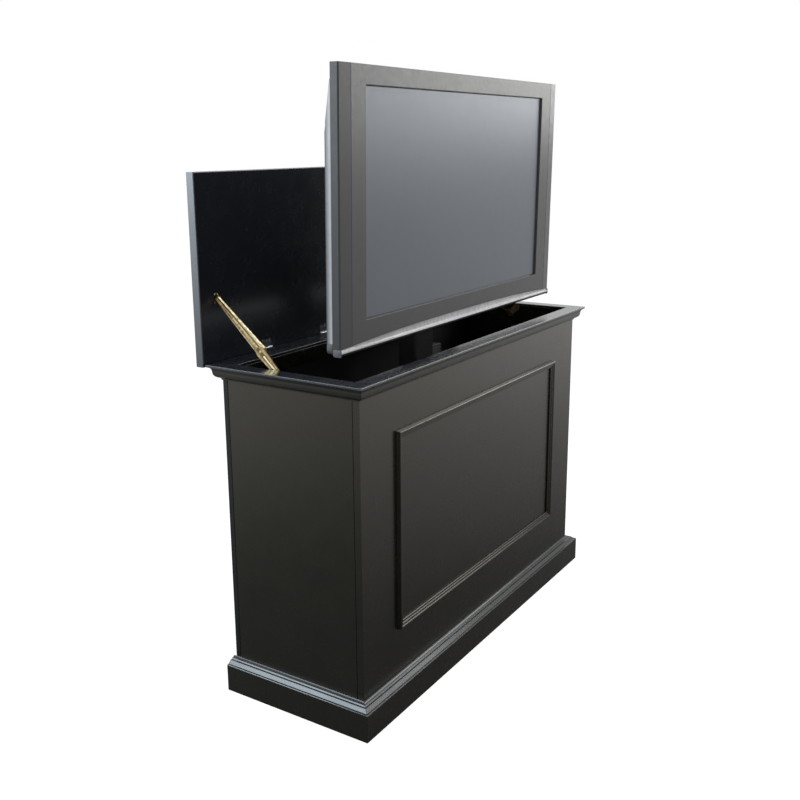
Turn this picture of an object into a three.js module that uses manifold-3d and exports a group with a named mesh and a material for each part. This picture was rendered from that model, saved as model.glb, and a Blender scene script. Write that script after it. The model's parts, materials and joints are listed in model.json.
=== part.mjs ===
// A lift cabinet for a flat television, in millimetres, with +Z up and the front facing -Y.
// The origin is on the floor, under the middle of the whole piece as it stands open:
// the lid upright behind the cabinet and the television raised on its telescopic column.

import * as THREE from 'three';
import * as BufferGeometryUtils from 'three/addons/utils/BufferGeometryUtils.js';
import Module from 'manifold-3d';

// Clearances
const seat = 0.3; // gap where two pieces rest on or against each other
const slideGap = 0.4; // gap between a sliding stage and what guides it
const overrun = 5; // how far a cutting tool reaches past what it cuts

// Counts of facets
const edgeSteps = 2;
const roundSteps = 4;
const archSteps = 24;
const rodSides = 16;

// Plinth and base cap
const plinthWidth = 1270;
const plinthDepth = 444;
const plinthHeight = 71;
const plinthBoard = 18;
const plinthReach = 29; // how far the plinth stands out from the front and sides of the body
const baseCapHeight = 17;
const floorBoard = 16;
const floorUnderside = 30;
const cleatSize = 22;

// Body
const bodyRearSetback = 8; // body rear to plinth rear
const cabinetHeight = 874.5;
const frontBoard = 19;
const sideBoard = 13;
const backBoard = 15;
const jointChamfer = 1.2; // bevel that draws the line where two boards meet

// Top frame, crown and the cleat behind the opening
const frameThickness = 6;
const frameSideOverhang = 31;
const frameFrontOverhang = 28;
const frameRearOverhang = 26;
const frameEdge = 1; // radius on the edges of the frame
const rearRailWidth = 66.5;
const rearCleatDepth = 30;
const rearCleatHeight = 40;
const crownReach = 25;
const crownDrop = 40; // cabinet top to the lower edge of the crown
const crownCoveReach = 7;
const crownRoundRadius = 14;
const crownBeadReach = 2.5;
const crownStep = 1.5; // narrow flat between the parts of the crown

// Moulding frame on the front
const panelSideMargin = 151; // edge of the front to the outer edge of the moulding
const panelBottomMargin = 210; // floor to the moulding
const panelTopMargin = 146.5; // moulding to the top of the cabinet
const panelMouldingWidth = 20;
const panelMouldingHeight = 11.5;

// Back: service opening, its ventilated cover and the cable hole
const serviceWidth = 520;
const serviceHeight = 300;
const serviceBottom = 300;
const accessLap = 22; // how far the cover laps over the edge of the opening
const accessThickness = 6;
const ventSlotWidth = 6;
const ventSlotHeight = 46;
const ventPitch = 20;
const ventRowPitch = 90;
const ventColumns = 14;
const ventRows = 2;
const grommetRadius = 31;
const grommetFlangeRadius = 36;
const grommetFlangeThickness = 2.5;
const grommetBoreRadius = 24;
const grommetHeight = 150;
const grommetInset = 176; // in from the side of the body
const grommetSides = 32;

// Lid, as it stands open
const lidStandOff = 25; // rear of the plinth to the inner face of the lid
const lidThickness = 24;
const lidLength = 468;
const lidTail = 8; // how far the lid reaches below the hinge pin
const lidEdge = 2; // radius on the edges of the lid

// Lid hinges
const hingePinDrop = 0.5; // pin centre below the top of the cabinet
const hingePinRadius = 1.5;
const hingePinPlay = 0.25;
const hingeKnuckleRadius = 3;
const hingeKnuckleGap = 0.4;
const hingeWidth = 40;
const hingeLeaf = 1;
const hingeRailLeafLength = 46;
const hingeLidLeafLength = 27;
const hingeEndInset = 237; // end of the lid to the middle of the first hinge
const hingePitch = 255; // between the two hinges of a side

// Folding lid stays, seen from the side
const stayLidPivotHeight = 156; // above the hinge pin
const stayLidPivotInset = 9; // in front of the inner face of the lid
const stayWallPivotPlace = 200; // in front of the rear of the plinth
const stayWallPivotDrop = 35; // below the top of the cabinet
const stayElbowShare = 0.62; // share of the open stay that is upper arm
const stayElbowRise = 1; // how far the open elbow lies above the straight line
const stayEndRadius = 5.5;
const stayElbowRadius = 13.5;
const stayPlateFootRadius = 9;
const stayPlateHeadRadius = 11;
const stayPlateForward = 21; // plate head in front of its foot
const stayPlateRise = 23; // plate head above its foot
const stayBracketHeight = 30;
const stayBracketWidth = 12;
const stayEarRadius = 6.5;

// Folding lid stays, measured inwards from the side wall
const stayPlateThickness = 1.5;
const stayLowerDepth = 3.5;
const stayUpperDepth = 6;
const staySheet = 1.6; // brass sheet that the arms are pressed from
const stayEar = 1.8;
const stayPinRadius = 2.4;
const stayPinPlay = 0.25;
const stayPinHeadRadius = 3.5;
const stayPinHeadDepth = 1.2;
const stayElbowRivetRadius = 5;

// Lift column
const stageLength = 500;
const stageOverlap = 103; // length that a raised stage still holds in the one round it
const stageStep = 12; // each stage stands this much higher than the one round it
const outerStageWidth = 110;
const outerStageDepth = 70;
const stageShrink = 12; // each stage is this much narrower and shallower
const stageWall = 3;
const stageCornerRadius = 6;
const stageFootHeight = 20; // height of the wide foot that guides a stage in the one round it
const collarSkirt = 14;
const collarRim = 3;
const basePlateWidth = 420;
const basePlateDepth = 190;
const basePlateThickness = 8;
const basePlateRadius = 10;
const basePlateBoltRadius = 4.5;
const basePlateBoltInset = 20;

// Lift motor and its control box
const motorGap = 3;
const motorRadius = 27;
const motorHeight = 118;
const motorCapRadius = 21;
const motorCapHeight = 7;
const gearboxWidth = 72;
const gearboxDepth = 62;
const gearboxHeight = 46;
const gearboxRadius = 6;
const controlBoxWidth = 126;
const controlBoxHeight = 122;
const controlBoxDepth = 38;
const controlBoxDrop = 111.5; // below the top of the cabinet
const controlBoxInset = 285; // in from the side wall
const controlBoxRadius = 8;
const controlBoxEdge = 2;

// Television bracket
const headPlateWidth = 120;
const headPlateThickness = 5;
const crossPlateWidth = 460;
const crossPlateHeight = 230;
const crossPlateThickness = 4;
const crossPlateClearance = 3.6; // cross plate to the front of the outer stage
const crossSlotWidth = 110;
const crossSlotHeight = 40;
const crossSlotRadius = 8;
const crossSlotPlace = 110;
const crossSlotPitch = 90;
const railSpacing = 400;
const railWidth = 32;
const railDepth = 12;
const railSheet = 2.5;
const railLength = 300;
const railHookHeight = 20; // how far a rail stands above the cross plate
const railLip = 8; // how far the hook reaches down behind the cross plate

// Television, in its own upright frame: x across, y back from its outer front edge, z up
const tvTopMargin = 43.5; // upper edge of the screen to the top
const tvSideMargin = 59; // end of the screen to the seam
const tvFrontSetback = 339; // outer front edge, in front of the rear of the plinth
const tvLean = 0.015; // forward lean in radians
const tvRailFoot = 136.5; // foot of the rails above the lower edge of the television
const tvFaceStep = 3.3; // how far the middle of the bezel stands in front of its outer edges
const tvSideStrip = 43; // seam to the outer edge
const tvSeam = 0.6;
const tvStripRadius = 3;
const tvRimDepth = 22;
const tvRimWall = 4;
const tvFaceEdge = 1;
const screenWidth = 934;
const screenHeight = 529.5;
const screenBottom = 56.5;
const screenRecess = 6.5;
const screenThickness = 6;
const screenLap = 8; // how far the screen reaches behind the bezel
const tvCoverInset = 2;
const tvCoverTopInset = 34; // top of the cover below the top of the television
const tvCoverTopDepth = 3; // depth of the cover behind the rim at its top
const tvCoverBand = 17; // and below its shoulder
const tvCoverShoulder = 137; // shoulder of the cover below the top of the television
const tvCoverFoot = 15; // how far the cover reaches below the sides of the television
const tvCoverDepth = 95; // outer front edge to the rear of the television
const tvCoverSideSlope = 92;
const tvCoverTopSlope = 190;
const tvCoverBottomSlope = 60;
const tvCoverWall = 3;
const tvCoverRadius = 10;
const tvVentHeight = 5;
const tvVentWidth = 300;
const tvVentPitch = 13;
const tvVentRows = 5;
const tvVentDrop = 40; // below the upper edge of the flat rear face
const archRise = 13.9; // the arch of the lower edge of the bezel, over its whole width
const archPower = 2.6; // above 2 for a flatter middle and steeper ends
const chinDrop = 9; // lower edge of the chin strip below the sides of the television
const chinLip = 4; // its lip in front of the outer edge of the television
const chinLipHeight = 1.2;
const chinHollow = 6.2; // how far its face curves back from the lip
const chinDepth = 10;
const chinInset = 2; // in from each side of the television
const baseBarDrop = 18.5; // the rounded bar under the bezel
const baseBarSetback = 0.6; // its front behind the lip of the chin strip
const baseBarFrontRound = 14;
const baseBarRearRound = 5;

// Places of the cabinet that follow from the sizes
const overallDepth = plinthDepth + lidStandOff + lidThickness; // with the lid open
const plinthSide = plinthWidth / 2;
const plinthFront = -overallDepth / 2;
const plinthRear = plinthFront + plinthDepth;
const bodySide = plinthSide - plinthReach;
const bodyFront = plinthFront + plinthReach;
const bodyRear = plinthRear - bodyRearSetback;
const innerSide = bodySide - sideBoard;
const innerFront = bodyFront + frontBoard;
const innerRear = bodyRear - backBoard;
const controlBoxPlace = innerSide - controlBoxInset;
const controlBoxTop = cabinetHeight - controlBoxDrop;
const grommetOffset = bodySide - grommetInset;
const floorTop = floorUnderside + floorBoard;
const frameUnderside = cabinetHeight - frameThickness;
const wallTop = frameUnderside - seat;
const frameSide = bodySide + frameSideOverhang;
const frameFront = bodyFront - frameFrontOverhang;
const frameRear = bodyRear + frameRearOverhang;

// Places of the lid, its hinges and its stays
const lidInner = plinthRear + lidStandOff;
const hingeY = (frameRear + lidInner) / 2;
const hingeZ = cabinetHeight - hingePinDrop;
const lidPivot = [lidInner - stayLidPivotInset, hingeZ + stayLidPivotHeight];
const wallPivot = [plinthRear - stayWallPivotPlace, cabinetHeight - stayWallPivotDrop];
const elbow = elbowPlace();

// Layers of a stay, as distances from the side wall
const plateNear = seat;
const plateFar = plateNear + stayPlateThickness;
const lowerNear = plateFar + seat;
const lowerFar = lowerNear + stayLowerDepth;
const upperNear = lowerFar + seat;
const upperFar = upperNear + stayUpperDepth;
const earNear = upperFar + seat;
const earFar = earNear + stayEar;

// Places of the raised lift
const stageTravel = stageLength - stageStep - stageOverlap;
const basePlateTop = floorTop + seat + basePlateThickness;
const outerBottom = basePlateTop + seat;
const outerTop = outerBottom + stageLength;
const middleBottom = outerBottom + stageStep + stageTravel;
const innerBottom = middleBottom + stageStep + stageTravel;
const innerTop = innerBottom + stageLength;
const headTop = innerTop + seat + headPlateThickness;

// Places of the television and of the bracket and column behind it
const tvSide = screenWidth / 2 + tvSideMargin + tvSideStrip;
const tvHeight = screenBottom + screenHeight + tvTopMargin;
const tvY = plinthRear - tvFrontSetback;
const railFront = tvCoverDepth + seat;
const railRear = railFront + railDepth;
const railTop = tvRailFoot + railLength;
const hookBottom = railTop - railHookHeight;
const tvZ = headTop + seat - hookBottom * Math.cos(tvLean) - railRear * Math.sin(tvLean);
const railRise = (hookBottom - crossPlateHeight) * Math.sin(tvLean);
const crossFront = tvY + railRear * Math.cos(tvLean) - railRise + seat;
const crossRear = crossFront + crossPlateThickness;
const columnFront = crossRear + crossPlateClearance;
const columnY = columnFront + outerStageDepth / 2;

// Depths of the chin strip and of the bar behind it, in the television's own frame
const chinRear = chinDepth - chinLip;
const barFront = baseBarSetback - chinLip;

const quarter = Math.PI / 2;
const sides = [
  [-1, 'left'],
  [1, 'right'],
];

// Colours as the eye sees them in even light
const finishes = {
  lacquer: { color: '#2b2a29', roughness: 0.42, metalness: 0 },
  lacquerInside: { color: '#141414', roughness: 0.6, metalness: 0 },
  chrome: { color: '#c4c7ca', roughness: 0.2, metalness: 1 },
  brass: { color: '#b89a5c', roughness: 0.32, metalness: 1 },
  steel: { color: '#2d2f32', roughness: 0.5, metalness: 0.6 },
  zinc: { color: '#9a9da0', roughness: 0.4, metalness: 0.9 },
  blackPlastic: { color: '#1c1d1f', roughness: 0.55, metalness: 0 },
  greyPlastic: { color: '#9b9da0', roughness: 0.5, metalness: 0 },
  bezel: { color: '#55565a', roughness: 0.35, metalness: 0.1 },
  silver: { color: '#c9cacd', roughness: 0.28, metalness: 0.5 },
  backCover: { color: '#3a3b3e', roughness: 0.7, metalness: 0 },
  screen: { color: '#7d8186', roughness: 0.25, metalness: 0 },
};

const wasm = await Module();
wasm.setup();

const product = new THREE.Group();

// Adds one named piece to a group, with a material of its own
function add(name, geometry, finish, parent = product) {
  const mesh = new THREE.Mesh(geometry, new THREE.MeshStandardMaterial(finishes[finish]));
  mesh.name = name;
  parent.add(mesh);
  return mesh;
}

// Keeps the positions alone and merges the shared vertices, so that the surface is closed
function weld(geometry) {
  const plain = geometry.clone();
  plain.deleteAttribute('normal');
  plain.deleteAttribute('uv');
  return BufferGeometryUtils.mergeVertices(plain);
}

function toSolid(geometry) {
  const welded = weld(geometry);
  return new wasm.Manifold(
    new wasm.Mesh({
      numProp: 3,
      vertProperties: new Float32Array(welded.attributes.position.array),
      triVerts: new Uint32Array(welded.index.array),
    })
  );
}

function toGeometry(solid) {
  const mesh = solid.getMesh();
  const geometry = new THREE.BufferGeometry();
  geometry.setAttribute('position', new THREE.BufferAttribute(mesh.vertProperties, 3));
  geometry.setIndex(new THREE.BufferAttribute(mesh.triVerts, 1));
  return geometry;
}

function cut(base, ...tools) {
  const result = tools.reduce((solid, tool) => solid.subtract(toSolid(tool)), toSolid(base));
  return toGeometry(result);
}

function join(...pieces) {
  const solids = pieces.map(toSolid);
  return toGeometry(solids.reduce((whole, solid) => whole.add(solid)));
}

// A box between two corners
function box(x0, x1, y0, y1, z0, z1) {
  const geometry = new THREE.BoxGeometry(x1 - x0, y1 - y0, z1 - z0);
  return geometry.translate((x0 + x1) / 2, (y0 + y1) / 2, (z0 + z1) / 2);
}

// Extrudes an outline of [x, y] points upwards, with its edges rounded where a radius is given
function prismUp(outline, z0, z1, { holes = [], edge = 0 } = {}) {
  const points = (list) => list.map(([x, y]) => new THREE.Vector2(x, y));
  const shape = new THREE.Shape(points(outline));
  shape.holes = holes.map((hole) => new THREE.Path(points(hole)));
  const geometry = new THREE.ExtrudeGeometry(shape, {
    depth: z1 - z0 - 2 * edge,
    bevelEnabled: edge > 0,
    bevelThickness: edge,
    bevelSize: edge,
    bevelOffset: -edge,
    bevelSegments: edgeSteps,
  });
  return geometry.translate(0, 0, z0 + edge);
}

// Extrudes an outline of [y, z] points along X
function prismAcross(outline, x0, x1, options) {
  const geometry = prismUp(outline, 0, x1 - x0, options);
  geometry.rotateX(quarter);
  geometry.rotateZ(quarter);
  return geometry.translate(x0, 0, 0);
}

// Extrudes an outline of [x, z] points from the front towards the rear
function prismBack(outline, y0, y1, options) {
  const geometry = prismUp(outline, 0, y1 - y0, options);
  geometry.rotateX(quarter);
  return geometry.translate(0, y1, 0);
}

// A cylinder along X, on the point [y, z]
function rodAcross(radius, x0, x1, y, z) {
  const geometry = new THREE.CylinderGeometry(radius, radius, x1 - x0, rodSides);
  geometry.rotateZ(quarter);
  return geometry.translate((x0 + x1) / 2, y, z);
}

// Points on an elliptic arc, both ends included
function arc(cx, cy, rx, ry, from, to, steps) {
  const points = [];
  for (let i = 0; i <= steps; i++) {
    const angle = from + ((to - from) * i) / steps;
    points.push([cx + rx * Math.cos(angle), cy + ry * Math.sin(angle)]);
  }
  return points;
}

function rectangle(x0, x1, y0, y1) {
  return [
    [x0, y0],
    [x1, y0],
    [x1, y1],
    [x0, y1],
  ];
}

// A rectangle with round corners, anticlockwise
function roundedRectangle(x0, x1, y0, y1, radius) {
  return [
    ...arc(x1 - radius, y0 + radius, radius, radius, -quarter, 0, roundSteps),
    ...arc(x1 - radius, y1 - radius, radius, radius, 0, quarter, roundSteps),
    ...arc(x0 + radius, y1 - radius, radius, radius, quarter, 2 * quarter, roundSteps),
    ...arc(x0 + radius, y0 + radius, radius, radius, 2 * quarter, 3 * quarter, roundSteps),
  ];
}

// A bar with round ends of two sizes, drawn round the points at its ends
function barOutline(from, to, fromRadius, toRadius) {
  const along = Math.atan2(to[1] - from[1], to[0] - from[0]);
  const length = Math.hypot(to[0] - from[0], to[1] - from[1]);
  const spread = Math.acos((fromRadius - toRadius) / length);
  const steps = 2 * roundSteps;
  return [
    ...arc(...to, toRadius, toRadius, along - spread, along + spread, steps),
    ...arc(...from, fromRadius, fromRadius, along + spread, along + 4 * quarter - spread, steps),
  ];
}

// Joins loops of equally many points into one closed skin, with a flat face at each end.
// Each point has its place on the flat outline and its place in space.
function skin(loops) {
  const clockwise = THREE.ShapeUtils.isClockWise(loops[0].map((point) => point.flat));
  const ordered = clockwise ? loops.map((loop) => [...loop].reverse()) : loops;
  const count = ordered[0].length;
  const positions = ordered.flatMap((loop) => loop.flatMap((point) => point.at.toArray()));
  const index = [];
  for (let ring = 0; ring < ordered.length - 1; ring++) {
    for (let i = 0; i < count; i++) {
      const a = ring * count + i;
      const b = ring * count + ((i + 1) % count);
      index.push(a, b, b + count, a, b + count, a + count);
    }
  }
  const last = (ordered.length - 1) * count;
  const outline = ordered[0].map((point) => point.flat);
  for (const [a, b, c] of THREE.ShapeUtils.triangulateShape(outline, [])) {
    index.push(c, b, a, last + a, last + b, last + c);
  }
  const geometry = new THREE.BufferGeometry();
  geometry.setAttribute('position', new THREE.Float32BufferAttribute(positions, 3));
  geometry.setIndex(index);
  return outward(geometry);
}

// Turns a closed skin the right way round when its faces point inwards
function outward(geometry) {
  const position = geometry.attributes.position;
  const index = geometry.index.array;
  const [a, b, c] = [new THREE.Vector3(), new THREE.Vector3(), new THREE.Vector3()];
  let volume = 0;
  for (let i = 0; i < index.length; i += 3) {
    a.fromBufferAttribute(position, index[i]);
    b.fromBufferAttribute(position, index[i + 1]);
    c.fromBufferAttribute(position, index[i + 2]);
    volume += a.dot(b.cross(c));
  }
  if (volume < 0) {
    for (let i = 0; i < index.length; i += 3) {
      [index[i + 1], index[i + 2]] = [index[i + 2], index[i + 1]];
    }
  }
  return geometry;
}

// A straight length of moulding. The profile is a list of [out, up] points, and each end
// is a function that says where a profile point lies there, so a mitre is just a slope.
function moulding(profile, start, end) {
  const loop = (place) =>
    profile.map(([out, up]) => ({ flat: new THREE.Vector2(out, up), at: place(out, up) }));
  return skin([loop(start), loop(end)]);
}

// Lengths of one moulding for the front and both sides of the body, mitred at the front
// corners. The side lengths end at the rear where the given function says.
function addMouldings(name, profile, sideEnd) {
  const corner = (side) => (out, up) =>
    new THREE.Vector3(side * (bodySide + out), bodyFront - out, up);
  add(`${name}_front`, moulding(profile, corner(-1), corner(1)), 'lacquer');
  for (const [side, place] of sides) {
    const end = (y) => (out, up) => new THREE.Vector3(side * (bodySide + out), y(out), up);
    const length = moulding(profile, end((out) => bodyFront - out + seat), end(sideEnd));
    add(`${name}_${place}`, length, 'lacquer');
  }
}

function addPlinth() {
  const inner = plinthSide - plinthBoard;
  const boardRear = plinthFront + plinthBoard;
  const frontOutline = [
    [-plinthSide, plinthFront],
    [plinthSide, plinthFront],
    [inner, boardRear],
    [-inner, boardRear],
  ];
  add('plinth_front', prismUp(frontOutline, 0, plinthHeight), 'lacquer');
  for (const [side, place] of sides) {
    const outline = [
      [side * plinthSide, plinthFront + seat],
      [side * plinthSide, plinthRear],
      [side * inner, plinthRear],
      [side * inner, boardRear + seat],
    ];
    add(`plinth_${place}`, prismUp(outline, 0, plinthHeight), 'lacquer');
  }
  const fitted = inner - seat;
  const rearBoard = plinthRear - plinthBoard;
  add('plinth_back', box(-fitted, fitted, rearBoard, plinthRear, 0, plinthHeight), 'lacquer');
  const floorFront = boardRear + seat;
  const floorRear = rearBoard - seat;
  for (const [side, place] of sides) {
    const outline = rectangle(side * (fitted - cleatSize), side * fitted, floorFront, floorRear);
    const top = floorUnderside - seat;
    add(`floor_cleat_${place}`, prismUp(outline, top - cleatSize, top), 'lacquerInside');
  }
  const floor = box(-fitted, fitted, floorFront, floorRear, floorUnderside, floorTop);
  add('floor_panel', floor, 'lacquerInside');
}

// The cap over the plinth: a chamfered lip at the plinth face, two sloping steps and a cove up to the body
function baseCapProfile() {
  const shares = [
    [1, 0],
    [1, 0.03],
    [0.95, 0.12],
    [0.8, 0.12],
    [0.54, 0.57],
    [0.37, 0.57],
    [0.28, 0.73],
    [0.16, 0.78],
    [0.07, 0.87],
    [0.03, 0.96],
  ];
  const bottom = plinthHeight + seat;
  const height = baseCapHeight - seat;
  const curve = shares.map(([out, up]) => [out * plinthReach, bottom + up * height]);
  return [[seat, bottom], ...curve, [seat, bottom + height]];
}

// The crown, from the bead at its foot over a quarter round to the cove under the frame
function crownProfile() {
  const bottom = cabinetHeight - crownDrop;
  const top = frameUnderside - seat;
  const roundFoot = bottom + crownBeadReach + 2 * crownStep;
  const roundTop = roundFoot + crownRoundRadius;
  const coveInner = crownReach - crownCoveReach;
  const roundInner = coveInner - crownRoundRadius;
  const coveHeight = top - crownStep - roundTop;
  return [
    [seat, bottom],
    [crownBeadReach, bottom],
    [crownBeadReach, bottom + crownBeadReach],
    [roundInner, bottom + crownBeadReach + crownStep],
    ...arc(roundInner, roundTop, crownRoundRadius, crownRoundRadius, -quarter, 0, roundSteps),
    ...arc(crownReach, roundTop, crownCoveReach, coveHeight, 2 * quarter, quarter, roundSteps).slice(1),
    [crownReach, top],
    [seat, top],
  ];
}

// The back board, with its service opening and cable hole
function backPanel() {
  const c = jointChamfer;
  const outline = [
    [-bodySide, innerRear + c],
    [-bodySide + c, innerRear],
    [bodySide - c, innerRear],
    [bodySide, innerRear + c],
    [bodySide, bodyRear],
    [-bodySide, bodyRear],
  ];
  const board = prismUp(outline, plinthHeight + seat, wallTop);
  const toolFront = innerRear - overrun;
  const toolRear = bodyRear + overrun;
  const service = rectangle(
    -serviceWidth / 2,
    serviceWidth / 2,
    serviceBottom,
    serviceBottom + serviceHeight
  );
  const hole = new THREE.CylinderGeometry(
    grommetRadius + seat,
    grommetRadius + seat,
    toolRear - toolFront,
    grommetSides
  );
  hole.translate(grommetOffset, (toolFront + toolRear) / 2, grommetHeight);
  return cut(board, prismBack(service, toolFront, toolRear), hole);
}

// The slotted cover on the outside of the service opening
function accessPanel() {
  const half = serviceWidth / 2 + accessLap;
  const bottom = serviceBottom - accessLap;
  const middle = serviceBottom + serviceHeight / 2;
  const slots = [];
  for (let column = 0; column < ventColumns; column++) {
    for (let row = 0; row < ventRows; row++) {
      const x = (column - (ventColumns - 1) / 2) * ventPitch;
      const z = middle + (row - (ventRows - 1) / 2) * ventRowPitch;
      slots.push(
        rectangle(
          x - ventSlotWidth / 2,
          x + ventSlotWidth / 2,
          z - ventSlotHeight / 2,
          z + ventSlotHeight / 2
        )
      );
    }
  }
  const outline = rectangle(-half, half, bottom, serviceBottom + serviceHeight + accessLap);
  const front = bodyRear + seat;
  const rear = front + accessThickness;
  const tools = slots.map((slot) => prismBack(slot, front - overrun, rear + overrun));
  return cut(prismBack(outline, front, rear), ...tools);
}

// The ring that lines the cable hole, with its flange on the outside of the back
function cableGrommet() {
  const flangeFront = bodyRear + seat;
  const flangeRear = flangeFront + grommetFlangeThickness;
  const profile = [
    [grommetBoreRadius, innerRear],
    [grommetRadius, innerRear],
    [grommetRadius, flangeFront],
    [grommetFlangeRadius, flangeFront],
    [grommetFlangeRadius - grommetFlangeThickness / 2, flangeRear],
    [grommetBoreRadius, flangeRear],
    [grommetBoreRadius, innerRear],
  ];
  const points = profile.map(([radius, y]) => new THREE.Vector2(radius, y));
  return new THREE.LatheGeometry(points, grommetSides).translate(grommetOffset, 0, grommetHeight);
}

function addBody() {
  const bottom = floorTop + seat;
  const c = jointChamfer;
  const frontOutline = [
    [-bodySide, bodyFront],
    [bodySide, bodyFront],
    [bodySide, innerFront - c],
    [bodySide - c, innerFront],
    [-bodySide + c, innerFront],
    [-bodySide, innerFront - c],
  ];
  add('front_panel', prismUp(frontOutline, bottom, wallTop), 'lacquer');
  for (const [side, place] of sides) {
    const outer = side * bodySide;
    const inner = side * innerSide;
    const outline = [
      [outer, innerFront + seat + c],
      [outer, innerRear - seat - c],
      [outer - side * c, innerRear - seat],
      [inner, innerRear - seat],
      [inner, innerFront + seat],
      [outer - side * c, innerFront + seat],
    ];
    add(`side_panel_${place}`, prismUp(outline, bottom, wallTop), 'lacquer');
  }
  add('back_panel', backPanel(), 'lacquerInside');
  add('access_panel', accessPanel(), 'blackPlastic');
  add('cable_grommet', cableGrommet(), 'blackPlastic');
  addMouldings('base_cap', baseCapProfile(), () => plinthRear);
}

// The mitred frame of reeded moulding planted on the front board
function addPanelMoulding() {
  const shares = [
    [0, 0],
    [0, 0.3],
    [0.06, 0.42],
    [0.27, 0.46],
    [0.3, 0.62],
    [0.35, 0.7],
    [0.56, 0.73],
    [0.59, 0.88],
    [0.64, 0.97],
    [0.72, 1],
    [0.85, 1],
    [0.9, 0.9],
    [1, 0],
  ];
  const profile = shares.map(([across, high]) => [
    (1 - across) * panelMouldingWidth,
    high * panelMouldingHeight,
  ]);
  const face = bodyFront - seat;
  const half = bodySide - panelSideMargin;
  const bottom = panelBottomMargin;
  const top = cabinetHeight - panelTopMargin;
  const level = (side, edge, inwards) => (depth, high) =>
    new THREE.Vector3(side * (half - depth), face - high, edge + inwards * depth);
  const addLength = (name, start, end) => {
    add(`panel_moulding_${name}`, moulding(profile, start, end), 'lacquer');
  };
  addLength('bottom', level(-1, bottom, 1), level(1, bottom, 1));
  addLength('top', level(-1, top, -1), level(1, top, -1));
  for (const [side, place] of sides) {
    addLength(place, level(side, bottom + seat, 1), level(side, top - seat, -1));
  }
}

function addTop() {
  const railFrontEdge = frameRear - rearRailWidth;
  const outline = rectangle(-frameSide, frameSide, frameFront, frameRear);
  const opening = rectangle(-innerSide, innerSide, innerFront, railFrontEdge);
  const options = { holes: [opening], edge: frameEdge };
  add('top_frame', prismUp(outline, frameUnderside, cabinetHeight, options), 'lacquer');
  const cleatSide = innerSide - seat;
  const cleatRear = innerRear - seat;
  const cleatFront = cleatRear - rearCleatDepth;
  const cleatBottom = wallTop - rearCleatHeight;
  const cleat = box(-cleatSide, cleatSide, cleatFront, cleatRear, cleatBottom, wallTop);
  add('rear_cleat', cleat, 'lacquer');
  const profile = crownProfile();
  addMouldings('crown', profile, (out) => bodyRear + out - seat);
  const corner = (side) => (out, up) =>
    new THREE.Vector3(side * (bodySide + out), bodyRear + out, up);
  add('crown_rear', moulding(profile, corner(-1), corner(1)), 'lacquer');
}

function addLid() {
  const bottom = hingeZ - lidTail;
  const outline = rectangle(-frameSide, frameSide, bottom, bottom + lidLength);
  const slab = prismBack(outline, lidInner, lidInner + lidThickness, { edge: lidEdge });
  add('lid_panel', slab, 'lacquer');
}

// The leaf that lies on the rear rail, with the middle knuckle and the pin
function hingeRailLeaf(x) {
  const half = hingeWidth / 2;
  const knuckle = (hingeWidth - 2 * hingeKnuckleGap) / 3 / 2;
  const bottom = cabinetHeight + seat;
  const top = bottom + hingeLeaf;
  const plateRear = hingeY - hingeKnuckleRadius - hingeKnuckleGap;
  return join(
    box(x - half, x + half, hingeY - hingeRailLeafLength, plateRear, bottom, top),
    box(x - knuckle, x + knuckle, plateRear - hingeLeaf, hingeY, bottom, top),
    rodAcross(hingeKnuckleRadius, x - knuckle, x + knuckle, hingeY, hingeZ),
    rodAcross(hingePinRadius, x - half, x + half, hingeY, hingeZ)
  );
}

// The leaf on the lid, with a tubular knuckle at each end
function hingeLidLeaf(x) {
  const half = hingeWidth / 2;
  const knuckle = (hingeWidth - 2 * hingeKnuckleGap) / 3;
  const rear = lidInner - seat;
  const front = rear - hingeLeaf;
  const plateBottom = hingeZ + hingeKnuckleRadius + hingeKnuckleGap;
  const pieces = [box(x - half, x + half, front, rear, plateBottom, hingeZ + hingeLidLeafLength)];
  for (const start of [x - half, x + half - knuckle]) {
    pieces.push(box(start, start + knuckle, front, rear, hingeZ, plateBottom + hingeLeaf));
    pieces.push(rodAcross(hingeKnuckleRadius, start, start + knuckle, hingeY, hingeZ));
  }
  const bore = rodAcross(
    hingePinRadius + hingePinPlay,
    x - half - overrun,
    x + half + overrun,
    hingeY,
    hingeZ
  );
  return cut(join(...pieces), bore);
}

function addHinges() {
  const outer = frameSide - hingeEndInset;
  const inner = outer - hingePitch;
  const places = [-outer, -inner, inner, outer];
  places.forEach((x, i) => {
    add(`hinge_rail_leaf_${i + 1}`, hingeRailLeaf(x), 'chrome');
    add(`hinge_lid_leaf_${i + 1}`, hingeLidLeaf(x), 'chrome');
  });
}

// The elbow of the open stay, between its pivots on the lid and on the wall
function elbowPlace() {
  const [lidY, lidZ] = lidPivot;
  const [wallY, wallZ] = wallPivot;
  const length = Math.hypot(wallY - lidY, wallZ - lidZ);
  const alongY = (wallY - lidY) / length;
  const alongZ = (wallZ - lidZ) / length;
  const reach = length * stayElbowShare;
  return [
    lidY + alongY * reach + alongZ * stayElbowRise,
    lidZ + alongZ * reach - alongY * stayElbowRise,
  ];
}

// Turns two distances from a side wall into the ends of a piece along X
function fromWall(side, near, far) {
  const ends = [side * (innerSide - near), side * (innerSide - far)];
  return ends.sort((a, b) => a - b);
}

function stayPlate(side, outline, near, far) {
  return prismAcross(outline, ...fromWall(side, near, far));
}

function stayRod(side, radius, centre, near, far) {
  return rodAcross(radius, ...fromWall(side, near, far), ...centre);
}

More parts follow.
